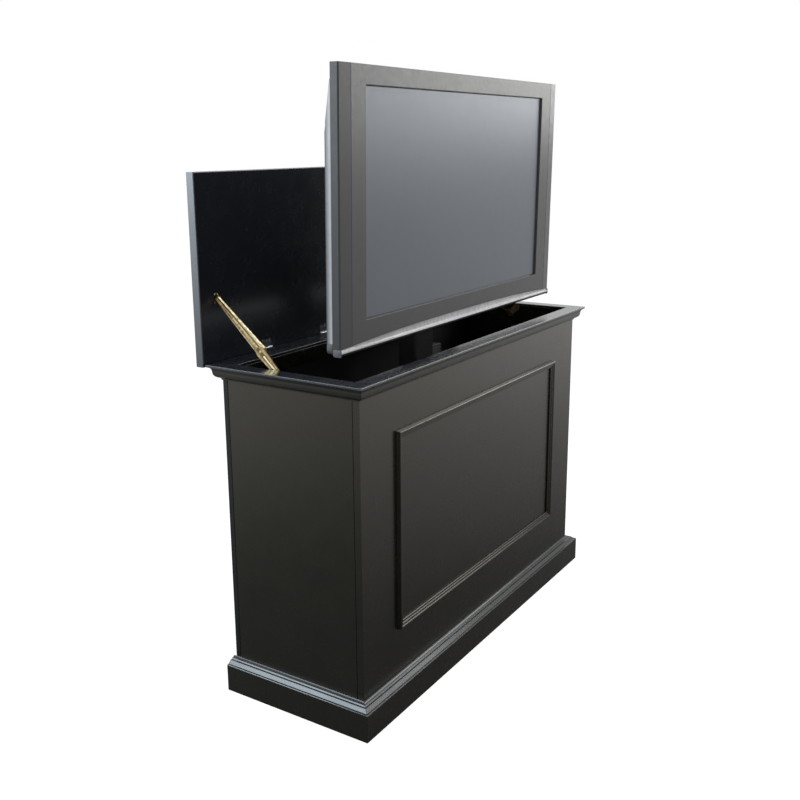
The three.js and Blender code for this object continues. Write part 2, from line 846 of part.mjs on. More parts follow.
// A tapered channel pressed from sheet, from the outer face of its web to the edges of its flanges
function stayChannel(side, end, webFace, flangeEdge) {
  const toFlanges = Math.sign(flangeEdge - webFace);
  const floor = webFace + toFlanges * staySheet;
  const inside = barOutline(end, elbow, stayEndRadius - staySheet, stayElbowRadius - staySheet);
  return cut(
    stayPlate(side, barOutline(end, elbow, stayEndRadius, stayElbowRadius), webFace, flangeEdge),
    stayPlate(side, inside, floor, flangeEdge + toFlanges * overrun)
  );
}

// A pin with a head, from the piece that it is fixed in to past the piece that turns on it
function headedPin(side, centre, from, held) {
  const head = held + seat;
  return join(
    stayRod(side, stayPinRadius, centre, from, head + stayPinHeadDepth),
    stayRod(side, stayPinHeadRadius, centre, head, head + stayPinHeadDepth)
  );
}

// The upper arm opens towards the wall, so that the lower arm lies over its channel
function stayUpperArm(side) {
  const middleOfWeb = upperFar - staySheet / 2;
  return join(
    stayChannel(side, lidPivot, upperFar, upperNear),
    headedPin(side, lidPivot, middleOfWeb, earFar),
    stayRod(side, stayElbowRivetRadius, elbow, upperNear, middleOfWeb)
  );
}

function stayLowerArm(side) {
  const web = lowerNear + staySheet;
  const hole = stayRod(
    side,
    stayPinRadius + stayPinPlay,
    wallPivot,
    lowerNear - overrun,
    web + overrun
  );
  const boss = stayRod(side, stayElbowRivetRadius, elbow, web - staySheet / 2, lowerFar);
  return join(cut(stayChannel(side, wallPivot, lowerNear, lowerFar), hole), boss);
}

// The plate screwed to the side wall, with the pin of the lower arm
function stayWallBracket(side) {
  const head = [wallPivot[0] - stayPlateForward, wallPivot[1] + stayPlateRise];
  const outline = barOutline(wallPivot, head, stayPlateFootRadius, stayPlateHeadRadius);
  return join(
    stayPlate(side, outline, plateNear, plateFar),
    headedPin(side, wallPivot, plateFar - stayPlateThickness / 2, lowerNear + staySheet)
  );
}

// The angle screwed to the lid, with the ear that the upper arm turns in
function stayLidBracket(side) {
  const [pivotY, pivotZ] = lidPivot;
  const face = lidInner - seat;
  const low = pivotZ - stayBracketHeight / 2;
  const high = pivotZ + stayBracketHeight / 2;
  const nose = arc(pivotY, pivotZ, stayEarRadius, stayEarRadius, quarter, 3 * quarter, 2 * roundSteps);
  const ear = stayPlate(side, [[face, high], ...nose, [face, low]], earNear, earFar);
  const flange = rectangle(face - stayEar, face, low, high);
  const hole = stayRod(
    side,
    stayPinRadius + stayPinPlay,
    lidPivot,
    earNear - overrun,
    earFar + overrun
  );
  return cut(join(ear, stayPlate(side, flange, earFar - stayBracketWidth, earFar)), hole);
}

function addStays() {
  for (const [side, place] of sides) {
    add(`stay_wall_bracket_${place}`, stayWallBracket(side), 'brass');
    add(`stay_lower_arm_${place}`, stayLowerArm(side), 'brass');
    add(`stay_upper_arm_${place}`, stayUpperArm(side), 'brass');
    add(`stay_lid_bracket_${place}`, stayLidBracket(side), 'brass');
  }
}

// A rectangle round the axis of the column, made narrower by an inset on each side
function columnOutline(width, depth, radius, inset = 0) {
  const halfWidth = width / 2 - inset;
  const halfDepth = depth / 2 - inset;
  const corner = Math.max(radius - inset, seat);
  return roundedRectangle(-halfWidth, halfWidth, columnY - halfDepth, columnY + halfDepth, corner);
}

// The outline of one stage of the column, where stage 0 is the outermost
function stageOutline(stage, inset = 0) {
  const width = outerStageWidth - stage * stageShrink;
  const depth = outerStageDepth - stage * stageShrink;
  return columnOutline(width, depth, stageCornerRadius, inset);
}

// One tube of the column. A stage that slides has a wide foot that runs in the one round it.
function stageTube(stage, bottom) {
  const top = bottom + stageLength;
  const bore = prismUp(stageOutline(stage, stageWall), bottom - overrun, top + overrun);
  const tube = prismUp(stageOutline(stage), bottom, top);
  if (stage === 0) return cut(tube, bore);
  const footOutline = stageOutline(stage - 1, stageWall + slideGap);
  return cut(join(tube, prismUp(footOutline, bottom, bottom + stageFootHeight)), bore);
}

// The guide on top of a stage, with its skirt inside the tube round the next stage
function stageCollar(stage, top) {
  const rimBottom = top + seat;
  const rimTop = rimBottom + collarRim;
  const skirtBottom = rimBottom - collarSkirt;
  const rim = prismUp(stageOutline(stage), rimBottom, rimTop);
  const skirt = prismUp(stageOutline(stage, stageWall + seat), skirtBottom, rimTop);
  const passage = stageOutline(stage + 1, -slideGap);
  return cut(join(rim, skirt), prismUp(passage, skirtBottom - overrun, rimTop + overrun));
}

function liftBasePlate() {
  const front = columnY - basePlateDepth / 2;
  const rear = columnY + basePlateDepth / 2;
  const half = basePlateWidth / 2;
  const outline = roundedRectangle(-half, half, front, rear, basePlateRadius);
  const holes = [];
  for (const x of [-half + basePlateBoltInset, half - basePlateBoltInset]) {
    for (const y of [front + basePlateBoltInset, rear - basePlateBoltInset]) {
      const circle = arc(x, y, basePlateBoltRadius, basePlateBoltRadius, 0, 4 * quarter, rodSides);
      holes.push(circle.slice(1));
    }
  }
  return prismUp(outline, floorTop + seat, basePlateTop, { holes });
}

// The gearbox beside the column, with the motor standing on it
function liftMotor() {
  const near = outerStageWidth / 2 + motorGap;
  const x = near + gearboxWidth / 2;
  const gearboxBottom = basePlateTop + seat;
  const gearboxTop = gearboxBottom + gearboxHeight;
  const motorTop = gearboxTop + motorHeight;
  const front = columnY - gearboxDepth / 2;
  const outline = roundedRectangle(
    near,
    near + gearboxWidth,
    front,
    front + gearboxDepth,
    gearboxRadius
  );
  const circle = (radius) => arc(x, columnY, radius, radius, 0, 4 * quarter, rodSides).slice(1);
  return join(
    prismUp(outline, gearboxBottom, gearboxTop),
    prismUp(circle(motorRadius), gearboxTop - seat, motorTop),
    prismUp(circle(motorCapRadius), motorTop - seat, motorTop + motorCapHeight)
  );
}

function controlBox() {
  const rear = innerRear - seat;
  const outline = roundedRectangle(
    controlBoxPlace - controlBoxWidth / 2,
    controlBoxPlace + controlBoxWidth / 2,
    controlBoxTop - controlBoxHeight,
    controlBoxTop,
    controlBoxRadius
  );
  return prismBack(outline, rear - controlBoxDepth, rear, { edge: controlBoxEdge });
}

// The plate on top of the inner stage, bent down in front into the slotted cross plate
function headBracket() {
  const half = crossPlateWidth / 2;
  const bottom = headTop - crossPlateHeight;
  const middle = bottom + crossPlateHeight / 2;
  const slots = [];
  for (const x of [-crossSlotPlace, crossSlotPlace]) {
    for (const z of [middle - crossSlotPitch / 2, middle + crossSlotPitch / 2]) {
      slots.push(
        roundedRectangle(
          x - crossSlotWidth / 2,
          x + crossSlotWidth / 2,
          z - crossSlotHeight / 2,
          z + crossSlotHeight / 2,
          crossSlotRadius
        )
      );
    }
  }
  const cross = rectangle(-half, half, bottom, headTop);
  const plateRear = columnFront + outerStageDepth;
  return join(
    prismBack(cross, crossFront, crossRear, { holes: slots }),
    box(
      -headPlateWidth / 2,
      headPlateWidth / 2,
      crossFront + crossPlateThickness / 2,
      plateRear,
      headTop - headPlateThickness,
      headTop
    )
  );
}

function addLift() {
  add('lift_base_plate', liftBasePlate(), 'steel');
  add('lift_outer_column', stageTube(0, outerBottom), 'steel');
  add('lift_outer_collar', stageCollar(0, outerTop), 'blackPlastic');
  add('lift_middle_column', stageTube(1, middleBottom), 'steel');
  add('lift_middle_collar', stageCollar(1, middleBottom + stageLength), 'blackPlastic');
  add('lift_inner_column', stageTube(2, innerBottom), 'steel');
  add('lift_motor', liftMotor(), 'zinc');
  add('lift_control_box', controlBox(), 'greyPlastic');
  add('lift_head_bracket', headBracket(), 'steel');
}

// One upright channel on the back of the television, hooked over the cross plate
function bracketRail(x) {
  const hookInner =
    railRear + seat + crossPlateHeight * Math.sin(tvLean) + crossPlateThickness + seat;
  const hookOuter = hookInner + railSheet;
  const flange = [
    [railFront, tvRailFoot],
    [railRear, tvRailFoot],
    [railRear, hookBottom],
    [hookInner, hookBottom],
    [hookInner, hookBottom - railLip],
    [hookOuter, hookBottom - railLip],
    [hookOuter, railTop],
    [railFront, railTop],
  ];
  const left = x - railWidth / 2;
  const right = x + railWidth / 2;
  return join(
    box(left, right, railFront, railFront + railSheet, tvRailFoot, railTop),
    prismAcross(flange, left, left + railSheet),
    prismAcross(flange, right - railSheet, right)
  );
}

// Points along the arch of the bezel's lower edge, from left to right, raised by a lift
function archPoints(half, lift) {
  const points = [];
  for (let i = 0; i <= archSteps; i++) {
    const x = -half + (2 * half * i) / archSteps;
    points.push([x, lift + archRise * (1 - Math.abs(x / tvSide) ** archPower)]);
  }
  return points;
}

// An upright outline whose lower edge follows the arch
function archedOutline(half, lift, top) {
  return [...archPoints(half, lift), [half, top], [-half, top]];
}

// The rounded bar under the bezel, and the block that joins it to the arched rail
function tvBaseBar() {
  const half = tvSide - chinInset;
  const top = -chinDrop - seat;
  const bottom = -baseBarDrop;
  const drop = top - bottom;
  const front = barFront + baseBarFrontRound;
  const rear = tvRimDepth - baseBarRearRound;
  const outline = [
    ...arc(front, top, baseBarFrontRound, drop, 2 * quarter, 3 * quarter, roundSteps),
    ...arc(rear, bottom + baseBarRearRound, baseBarRearRound, baseBarRearRound, -quarter, 0, roundSteps),
    [tvRimDepth, -seat],
    [chinRear + seat, -seat],
    [chinRear + seat, top],
  ];
  const blockHalf = tvSide - tvSideStrip;
  const block = archedOutline(blockHalf, tvRimWall / 2, top);
  return join(prismAcross(outline, -half, half), prismBack(block, chinRear + seat, tvRimDepth));
}

// The middle of the bezel: a face round the screen, a rim behind it and the bar below
function tvBezel() {
  const side = tvSide - tvSideStrip;
  const face = -tvFaceStep;
  const faceRear = face + screenRecess - seat;
  const outline = archedOutline(side, 0, tvHeight);
  const screen = rectangle(
    -screenWidth / 2,
    screenWidth / 2,
    screenBottom,
    screenBottom + screenHeight
  );
  const inside = archedOutline(side - tvRimWall, tvRimWall, tvHeight - tvRimWall);
  return join(
    prismBack(outline, face, faceRear, { holes: [screen], edge: tvFaceEdge }),
    prismBack(outline, face + tvFaceEdge, tvRimDepth, { holes: [inside] }),
    tvBaseBar()
  );
}

// A side strip of the bezel, which slants back from its seam to the outer edge
function tvSideStripSolid(side) {
  const seam = tvSide - tvSideStrip + tvSeam;
  const slope = tvFaceStep / (tvSideStrip - tvSeam);
  const outline = [
    [side * seam, -tvFaceStep],
    [side * (tvSide - tvStripRadius), -slope * tvStripRadius],
    [side * tvSide, tvStripRadius],
    [side * tvSide, tvRimDepth],
    [side * seam, tvRimDepth],
  ];
  const belowArch = archedOutline(tvSide + overrun, 0, -overrun);
  const tool = prismBack(belowArch, -tvFaceStep - overrun, tvRimDepth + overrun);
  return cut(prismUp(outline, 0, tvHeight), tool);
}

function tvScreen() {
  const front = -tvFaceStep + screenRecess;
  const half = screenWidth / 2 + screenLap;
  return box(
    -half,
    half,
    front,
    front + screenThickness,
    screenBottom - screenLap,
    screenBottom + screenHeight + screenLap
  );
}

// One loop of the rear cover at a depth, drawn in by its own inset on each side
function coverLoop(y, sideInset, bottomInset, topInset) {
  const outline = roundedRectangle(
    -tvSide + sideInset,
    tvSide - sideInset,
    bottomInset,
    tvHeight - topInset,
    tvCoverRadius
  );
  return outline.map(([x, z]) => ({ flat: new THREE.Vector2(x, z), at: new THREE.Vector3(x, y, z) }));
}

// The rear cover: a band behind the rim that is thin at the top and deepens down to its
// shoulder, then slopes that rise to the flat rear face
function tvBackCover() {
  const bandFront = tvRimDepth + seat;
  const bandTopRear = bandFront + tvCoverTopDepth;
  const bandRear = bandFront + tvCoverBand;
  const loops = (front, rear, inset) => [
    coverLoop(front, tvCoverInset + inset, inset - tvCoverFoot, tvCoverTopInset + inset),
    coverLoop(bandTopRear - inset, tvCoverInset + inset, inset - tvCoverFoot, tvCoverTopInset + inset),
    coverLoop(bandRear - inset, tvCoverInset + inset, inset - tvCoverFoot, tvCoverShoulder + inset),
    coverLoop(rear, tvCoverSideSlope + inset, tvCoverBottomSlope + inset, tvCoverTopSlope + inset),
  ];
  const outside = skin(loops(bandFront, tvCoverDepth, 0));
  const inside = skin(loops(bandFront - overrun, tvCoverDepth - tvCoverWall, tvCoverWall));
  const vents = [];
  for (let row = 0; row < tvVentRows; row++) {
    const top = tvHeight - tvCoverTopSlope - tvVentDrop - row * tvVentPitch;
    const slot = rectangle(-tvVentWidth / 2, tvVentWidth / 2, top - tvVentHeight, top);
    const toolFront = tvCoverDepth - tvCoverWall - overrun;
    vents.push(prismBack(slot, toolFront, tvCoverDepth + overrun));
  }
  return cut(outside, inside, ...vents);
}

// The bright strip under the arch of the bezel: a lip along its lower edge, and a face that
// curves back and up from the lip to the arch
function tvChinStrip() {
  const section = ([x, top]) => {
    const low = chinLipHeight - chinDrop;
    const face = arc(-chinLip, top, chinHollow, top - low, -quarter, 0, roundSteps);
    const outline = [[-chinLip, -chinDrop], ...face, [chinRear, top], [chinRear, -chinDrop]];
    return outline.map(([y, z]) => ({
      flat: new THREE.Vector2(y, z),
      at: new THREE.Vector3(x, y, z),
    }));
  };
  return skin(archPoints(tvSide - chinInset, -seat).map(section));
}

function addTelevision() {
  const television = new THREE.Group();
  television.position.set(0, tvY, tvZ);
  television.rotation.x = tvLean;
  product.add(television);
  add('tv_bezel', tvBezel(), 'bezel', television);
  add('tv_screen', tvScreen(), 'screen', television);
  for (const [side, place] of sides) {
    add(`tv_side_strip_${place}`, tvSideStripSolid(side), 'bezel', television);
    add(`vesa_rail_${place}`, bracketRail((side * railSpacing) / 2), 'steel', television);
  }
  add('tv_chin_strip', tvChinStrip(), 'silver', television);
  add('tv_back_cover', tvBackCover(), 'backCover', television);
}

addPlinth();
addBody();
addPanelMoulding();
addTop();
addLid();
addHinges();
addStays();
addLift();
addTelevision();

export default product;
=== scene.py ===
# A satin black lift cabinet with a television raised out of it. Lengths are in metres. Colours of
# surfaces are given as they are seen, from 0 to 255, and tints of light from 0 to 1.

import json
import math
from collections import namedtuple

import bmesh
import bpy
from mathutils import Matrix, Vector


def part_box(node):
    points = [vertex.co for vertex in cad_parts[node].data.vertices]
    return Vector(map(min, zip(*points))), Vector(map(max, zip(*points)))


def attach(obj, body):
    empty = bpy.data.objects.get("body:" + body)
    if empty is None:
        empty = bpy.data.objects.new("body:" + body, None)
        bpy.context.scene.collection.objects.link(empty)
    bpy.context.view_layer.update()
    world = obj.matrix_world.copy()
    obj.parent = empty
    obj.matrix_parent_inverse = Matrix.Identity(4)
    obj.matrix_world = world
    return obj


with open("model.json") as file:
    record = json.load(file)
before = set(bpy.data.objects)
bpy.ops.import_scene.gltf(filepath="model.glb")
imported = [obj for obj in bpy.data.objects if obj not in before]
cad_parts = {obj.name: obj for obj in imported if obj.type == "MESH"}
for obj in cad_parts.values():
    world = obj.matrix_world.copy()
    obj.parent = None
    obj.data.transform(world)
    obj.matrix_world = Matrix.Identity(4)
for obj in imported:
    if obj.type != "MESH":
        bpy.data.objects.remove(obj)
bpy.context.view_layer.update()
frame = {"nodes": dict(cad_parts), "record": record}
nodes = frame["nodes"]
sides = ((-1, "left"), (1, "right"))

# The photograph's camera, in the frame of the part
CAMERA_PLACE = (-2.3271, -1.4244, 1.3931)
CAMERA_HEADING = 56.53  # degrees to the right of straight ahead
CAMERA_TILT = -13.44
CAMERA_ROLL = -0.58
CAMERA_SENSOR = 36  # millimetres
CAMERA_LENS = 43.86  # millimetres
CAMERA_SHIFT = (0.0192, -0.0288)

# Light of the world on what it lights
WORLD_LIGHT = 0.36

# The softboxes. A brightness of 1 is about that of a white surface, and takes this many watts for each
# square metre.
BRIGHTNESS_WATTS = 4
Softbox = namedtuple("Softbox", "place target size brightness colour")
SOFTBOXES = {
    "softbox_right": Softbox(
        place=(1.75, -1.14, 1.77),
        target=(0, -0.14, 1.5),
        size=(1.9, 0.64),
        brightness=3.5,
        colour=(1, 0.99, 0.97),
    ),
    "softbox_low": Softbox(
        place=(2.7, -2.3, 1.95),
        target=(-0.5, -0.2, 0.1),
        size=(0.5, 0.3),
        brightness=5.5,
        colour=(1, 1, 1),
    ),
    "softbox_left": Softbox(
        place=(-3.9, 2.8, 1.72),
        target=(0, 0, 1.4),
        size=(2.4, 0.85),
        brightness=4.6,
        colour=(0.84, 0.93, 1),
    ),
    "softbox_back": Softbox(
        place=(-2.8, 2.3, 2.95),
        target=(0, 0, 0.8),
        size=(2.2, 1.3),
        brightness=8.0,
        colour=(0.82, 0.92, 1),
    ),
    "softbox_high": Softbox(
        place=(3.0, -1.0, 3.9),
        target=(0, 0, 0.8),
        size=(2.0, 1.5),
        brightness=3.5,
        colour=(1, 1, 1),
    ),
}

# The floor: its own shade, and its glow as the camera sees it
FLOOR_SIZE = 60.0
FLOOR_SHADE = 0.25
FLOOR_WHITE = 0.92

# Its glow as gloss sees it, a painted shadow that rises from a dark oval under the object to nearly white
FLOOR_OVAL_STRETCH = (0.7, 1.6, 1)
FLOOR_OVAL_SHIFT = (0.07, -0.32, 0)
FLOOR_NEAR = 1.0
FLOOR_FAR = 5.0
FLOOR_NEAR_GLOW = 0.01
FLOOR_FAR_GLOW = 0.95
FLOOR_GLOW_POWER = 1.1

# Clearance of a piece that lies on a surface, and the angle above which its edges stay sharp
SKIN = 0.0002
SHARP_ANGLE = math.radians(35)

# Radius of the soft edges of the nodes, by slot, or by the start of the name where that is listed
SLOT_EDGES = {"lacquer": 0.0009, "lacquer_inside": 0.0006, "bezel": 0.0006, "screen": 0.0003}
NODE_EDGES = {"top_frame": 0.0012, "panel_moulding": 0.0007, "base_cap": 0.0003}
EDGE_SEGMENTS = 3
EDGE_ANGLE = math.radians(40)
WELD_REACH = 0.00001

# The range that most of a noise lies in
NOISE_LOW = 0.3
NOISE_HIGH = 0.7

# Colours of the finishes. A pair is dark and light.
LACQUER_COLOURS = ((19, 18, 14), (24, 23, 18))
# Lacquer of the top frame, painted paler and bluer as a painted reflection
RAIL_LACQUER_AND_REFLECTION_COLOURS = ((34, 37, 42), (39, 42, 48))
# Lacquer of the lid, painted paler and bluer as a painted reflection
LID_LACQUER_AND_REFLECTION_COLOURS = ((36, 39, 45), (41, 44, 50))
# Painted reflection on the edges of the lid
LID_EDGE_REFLECTION_COLOURS = ((70, 72, 75), (152, 156, 160))  # at its foot and at its top
INSIDE_COLOURS = ((12, 12, 12), (17, 17, 17))
CHROME_COLOUR = (190, 194, 200)
BRASS_COLOURS = ((118, 104, 74), (196, 182, 150))
# Lighter and darker copies of the brass for the stays: the upper arm is painted paler as painted light, and
# the lid bracket darker as painted shade
UPPER_ARM_LIT_COLOURS = ((140, 126, 92), (226, 212, 178))
LOWER_ARM_COLOURS = ((122, 106, 70), (198, 180, 138))
LID_BRACKET_SHADED_COLOURS = ((58, 52, 34), (112, 102, 74))
# Paler brass of the pressed rib, a painted highlight
RIB_HIGHLIGHT_COLOURS = ((205, 190, 150), (240, 226, 190))
# Colour of the painted shade in the stripes along the stay arms
STRIPE_SHADE_COLOUR = (104, 92, 60)
SCREEN_COLOURS = ((82, 86, 94), (86, 90, 98))
COVER_SIDE_COLOUR = (76, 77, 80)
BAND_REAR_COLOUR = (112, 113, 117)

# Tint of each sheen
LACQUER_SHEEN = (1, 0.93, 0.76)
BASE_CAP_SHEEN = (0.9, 0.96, 1)
RAIL_SHEEN = (0.88, 0.94, 1)
LID_SHEEN = (0.85, 0.92, 1)
SCREEN_SHEEN = (0.8, 0.9, 1)

# Depth of the orange peel of each lacquer
LACQUER_PEEL = 0.000006
TRIM_PEEL = 0.0000025
RAIL_PEEL = 0.0000007
LID_PEEL = 0.0000015

# Powder coats and moulded plastics: colour and roughness, and depth of the grain where it isn't plain
STEEL = ((30, 31, 33), 0.5)
MOTOR_CASING = ((150, 152, 156), 0.4)
BLACK_PLASTIC = ((17, 17, 18), 0.4)
GREY_PLASTIC = ((96, 98, 100), 0.5)
BEZEL_PLASTIC = ((50, 50, 52), 0.4)
# The control box is painted darker than the grey plastic of its slot, as painted shade of the well it stands
# in
BOX_SHADED_PLASTIC = ((50, 51, 53), 0.5)
COVER_PLASTIC = ((40, 41, 43), 0.5, 0.00003)
SILVER_PAINT = ((190, 191, 193), 0.3)
STRIP_PAINT = ((210, 210, 213), 0.28, 0.000002)
PLASTIC_GRAIN = 0.00001

# Their dark and their light shade, as shares of the colour, and how far their roughness varies
POWDER_SHADE_SHARES = (0.88, 1.1)
POWDER_ROUGHNESS_SPREAD = 0.06
PLASTIC_SHADE_SHARES = (0.95, 1.04)
PLASTIC_ROUGHNESS_SPREAD = 0.04

# The television's own upright frame: x across, y back from its outer front edge, z up
TV_PLACE = (0.0, -0.1415, 0.93614)
TV_LEAN = 0.015  # radians
TV_COVER_SIDE = 0.567
TV_FACE_STEP = 0.0033
TV_RIM = 0.022
TV_COVER_BAND = 0.017
TV_COVER_REAR = 0.095
TV_COVER_FOOT = 0.015
SCREEN_WIDTH = 0.934
SCREEN_HEIGHT = 0.5295
SCREEN_BOTTOM = 0.0565
SCREEN_RECESS = 0.0065

# The black surround that slopes from the bezel down to the glass
SURROUND_GAP = 0.0001  # to the edge of the bezel
SURROUND_LIP = 0.0005
SURROUND_SLOPE = 0.0024  # how far it reaches in over the glass
SURROUND_FRONT = 0.0011  # its front behind the bezel's
SURROUND_FOOT = 0.0004  # its thickness on the glass

# The pale band on each side of the rear cover
BAND_GAP = 0.0006  # behind the rim
BAND_WIDTH = 0.0143
BAND_TOP_WIDTH = 0.0024
BAND_SHOULDER = 0.506
BAND_TOP = 0.594
BAND_LIGHT_WIDTH = 0.005  # front part of the band that is evenly pale
BAND_THICKNESS = 0.0007
BAND_EDGE = 0.0003

# End caps of the rounded bar
BAR_TOP = 0.0
BAR_BOTTOM = -0.0178
BAR_FRONT = -0.0025
BAR_REAR = 0.0212
BAR_CAP_THICKNESS = 0.0012
BAR_CAP_CORNER = 0.0034
BAR_CAP_EDGE = 0.0008

# End caps at the foot of the rear cover
COVER_CAP_TOP = 0.0115
COVER_CAP_GAP = 0.0008  # below the pale band
COVER_CAP_MARGIN = 0.011  # how much it is shorter than the place for it
COVER_CAP_WIDTH_SHARE = 0.9
COVER_CAP_THICKNESS = 0.0009
COVER_CAP_CORNER = 0.002
COVER_CAP_EDGE = 0.0005

# Radius of each screw, rivet and bolt
HINGE_SCREW = 0.0031
STAY_SCREW = 0.0028
PANEL_SCREW = 0.0042
SMALL_SCREW = 0.0022
COLLAR_SCREW = 0.0012
BASE_BOLT = 0.0075
RAIL_BOLT = 0.0062
RIVET = 0.0042

# Their forms: the radius and the level of each ring, both as shares of the radius, and for a screw the
# level as a share of its height
ROUND_STEPS = 24
HEXAGON_STEPS = 6
SCREW_SHARES = ((0.98, 0), (1, 0.25), (0.86, 0.7), (0.66, 1))
WASHER_SHARES = ((1.6, 0), (1.6, 0.18), (1.5, 0.22))
HEXAGON_SHARES = ((1, 0.24), (1, 0.855), (0.88, 0.95))

# The cross recess of a screw, at its rim and on its floor: length, width and level
CROSS_SHARES = ((0.52, 0.13, 1), (0.42, 0.08, 0.3))

# Height of a screw head as a share of its radius. The hinge leaves lie 0.4 mm apart when the lid is
# shut, and the lower arm of a stay turns close to its wall bracket.
SCREW_HEIGHT_SHARE = 0.36
HINGE_SCREW_HEIGHT_SHARE = 0.05
WALL_SCREW_HEIGHT_SHARE = 0.03

# How far the first bend of a softened plate edge lies inside the corner, as a share of the edge
EDGE_BEND_SHARE = 0.3
CORNER_STEPS = 4

# Hinges
HINGE_COUNT = 4
RAIL_LEAF_FACE = 0.0048  # upper face of the rail leaf above the lowest point of its knuckle
LID_LEAF_THICKNESS = 0.001
HINGE_SCREW_SPREAD = 0.013
HINGE_SCREW_EDGE = 0.0075
HINGE_SCREW_ROW = 0.016  # from the two screws of a rail leaf to the single one

# Folding stays, seen from the side: y and z of the pivots, and the pressed rib of the lower arm
LID_PIVOT = (0.2135, 1.030)
WALL_PIVOT = (-0.0025, 0.8395)
ELBOW = (0.0789, 0.9126)
RIB_START = 0.014
RIB_LENGTH = 0.082
RIB_WIDTH = 0.0052
RIB_HEIGHT = 0.0009
RIB_CORNER = RIB_WIDTH / 2.2
RIB_EDGE = 0.00072
RIVET_STEP = 0.0005
RIVET_HEIGHT = 0.0009
RIVET_STEP_SHARE = 0.9
RIVET_TOP_SHARE = 0.55
LID_FLANGE = 0.0018  # thickness of the bracket on the lid
LID_SCREW_SHIFT = 0.0014  # from the middle of the bracket towards the side wall
LID_SCREW_SPREAD = 0.0103
WALL_PIN_REACH = 0.0034  # how far the pin stands out from its plate
WALL_SCREW_CORNER = 0.0105
WALL_SCREW_SPREAD = (0.002, 0.005)

# Stripes of painted shade along the arms: their two edges beside the line between the pivots, and how soft
UPPER_STRIPE = (-0.0012, 0.0034)
LOWER_STRIPE = (-0.0062, 0.0052)
STRIPE_FADE = 0.0006

# Fasteners of the service cover and the lift
SERVICE_SCREW_INSET = 0.011
BASE_BOLT_INSET = 0.020
COLLAR_SCREW_SPREAD = 0.021
COLLAR_SCREW_DROP = 0.0015
RAIL_WEB = 0.0028  # rear face of a rail's web behind the television
RAIL_BOLT_HEIGHTS = (0.185, 0.385)

# Motor and control box
GEARBOX_HEIGHT = 0.046
GEARBOX_SCREW_SPREAD = (0.037, 0.033)
CAN_RADIUS = 0.0271
CAN_RING_HEIGHTS = (0.006, 0.108)  # above the gearbox
CAN_RING_WIDTH = 0.005
CAN_RING_THICKNESS = 0.0008
BOX_COVER_INSET = 0.007
BOX_COVER_THICKNESS = 0.0012
BOX_COVER_CORNER = 0.006
BOX_COVER_EDGE = 0.0006
BOX_SCREW_INSET = 0.015


def make_camera():
    data = bpy.data.cameras.new("camera")
    data.sensor_width = CAMERA_SENSOR
    data.lens = CAMERA_LENS
    data.shift_x, data.shift_y = CAMERA_SHIFT
    camera = bpy.data.objects.new("camera", data)
    heading = Matrix.Rotation(math.radians(-CAMERA_HEADING), 4, "Z")
    tilt = Matrix.Rotation(math.radians(90 + CAMERA_TILT), 4, "X")
    roll = Matrix.Rotation(math.radians(CAMERA_ROLL), 4, "Z")
    camera.matrix_world = Matrix.Translation(CAMERA_PLACE) @ heading @ tilt @ roll
    bpy.context.scene.collection.objects.link(camera)
    bpy.context.scene.camera = camera


def linear(red, green, blue):
    """A colour as it is seen, in the linear values of a shader, by the sRGB rule."""
    shares = [channel / 255 for channel in (red, green, blue)]
    return (*[s / 12.92 if s <= 0.04045 else ((s + 0.055) / 1.055) ** 2.4 for s in shares], 1)


class NodeTree:
    """Adds shader nodes to a tree, and returns the socket with the result of each."""

    def __init__(self, tree):
        self.tree = tree

    def feed(self, node, inputs):
        """Gives each input its value, or a link where it is given a socket."""
        for name, value in inputs.items():
            if isinstance(value, bpy.types.NodeSocket):
                self.tree.links.new(value, node.inputs[name])
            else:
                node.inputs[name].default_value = value

    def node(self, kind, inputs, result, **settings):
        node = self.tree.nodes.new(f"ShaderNode{kind}")
        for name, setting in settings.items():
            setattr(node, name, setting)
        self.feed(node, inputs)
        return node.outputs[result]

    def place(self):
        """The place of a point, in the frame of the part."""
        return self.node("TexCoord", {}, "Object")

    def rays(self):
        """The kinds of rays, each 1 for a ray of that kind."""
        return self.tree.nodes.new("ShaderNodeLightPath").outputs

    def coordinate(self, axis):
        return self.node("SeparateXYZ", {"Vector": self.place()}, axis)

    def distance_along(self, direction):
        """How far a point lies in a direction, from the origin."""
        return self.node("VectorMath", {0: self.place(), 1: direction}, "Value", operation="DOT_PRODUCT")

    def compute(self, operation, *values):
        return self.node("Math", dict(enumerate(values)), 0, operation=operation)

    def ramp(self, value, start=0, end=1, low=0, high=1):
        """Goes evenly from low at the start to high at the end, and no further."""
        inputs = {"Value": value, "From Min": start, "From Max": end, "To Min": low, "To Max": high}
        return self.node("MapRange", inputs, "Result")

    def mix(self, share, first, second):
        """A mix of two colours, where each is a colour or a socket."""
        ends = [end if isinstance(end, bpy.types.NodeSocket) else linear(*end) for end in (first, second)]
        return self.node("Mix", {"Factor": share, "A": ends[0], "B": ends[1]}, "Result", data_type="RGBA")

    def noise(self, size, detail=3, stretch=(1, 1, 1)):
        """Soft noise whose blotches are about this size. A stretch above 1 shortens them."""
        place = self.node("Mapping", {"Vector": self.place(), "Scale": stretch}, "Vector")
        return self.node("TexNoise", {"Vector": place, "Scale": 1 / size, "Detail": detail}, "Fac")

    def dimples(self, size):
        """Small round dimples, about this far apart."""
        return self.node("TexVoronoi", {"Vector": self.place(), "Scale": 1 / size}, "Distance")

    def clouds(self, size, detail=3, low=0, high=1):
        """Noise that is spread from low to high."""
        return self.ramp(self.noise(size, detail), NOISE_LOW, NOISE_HIGH, low, high)


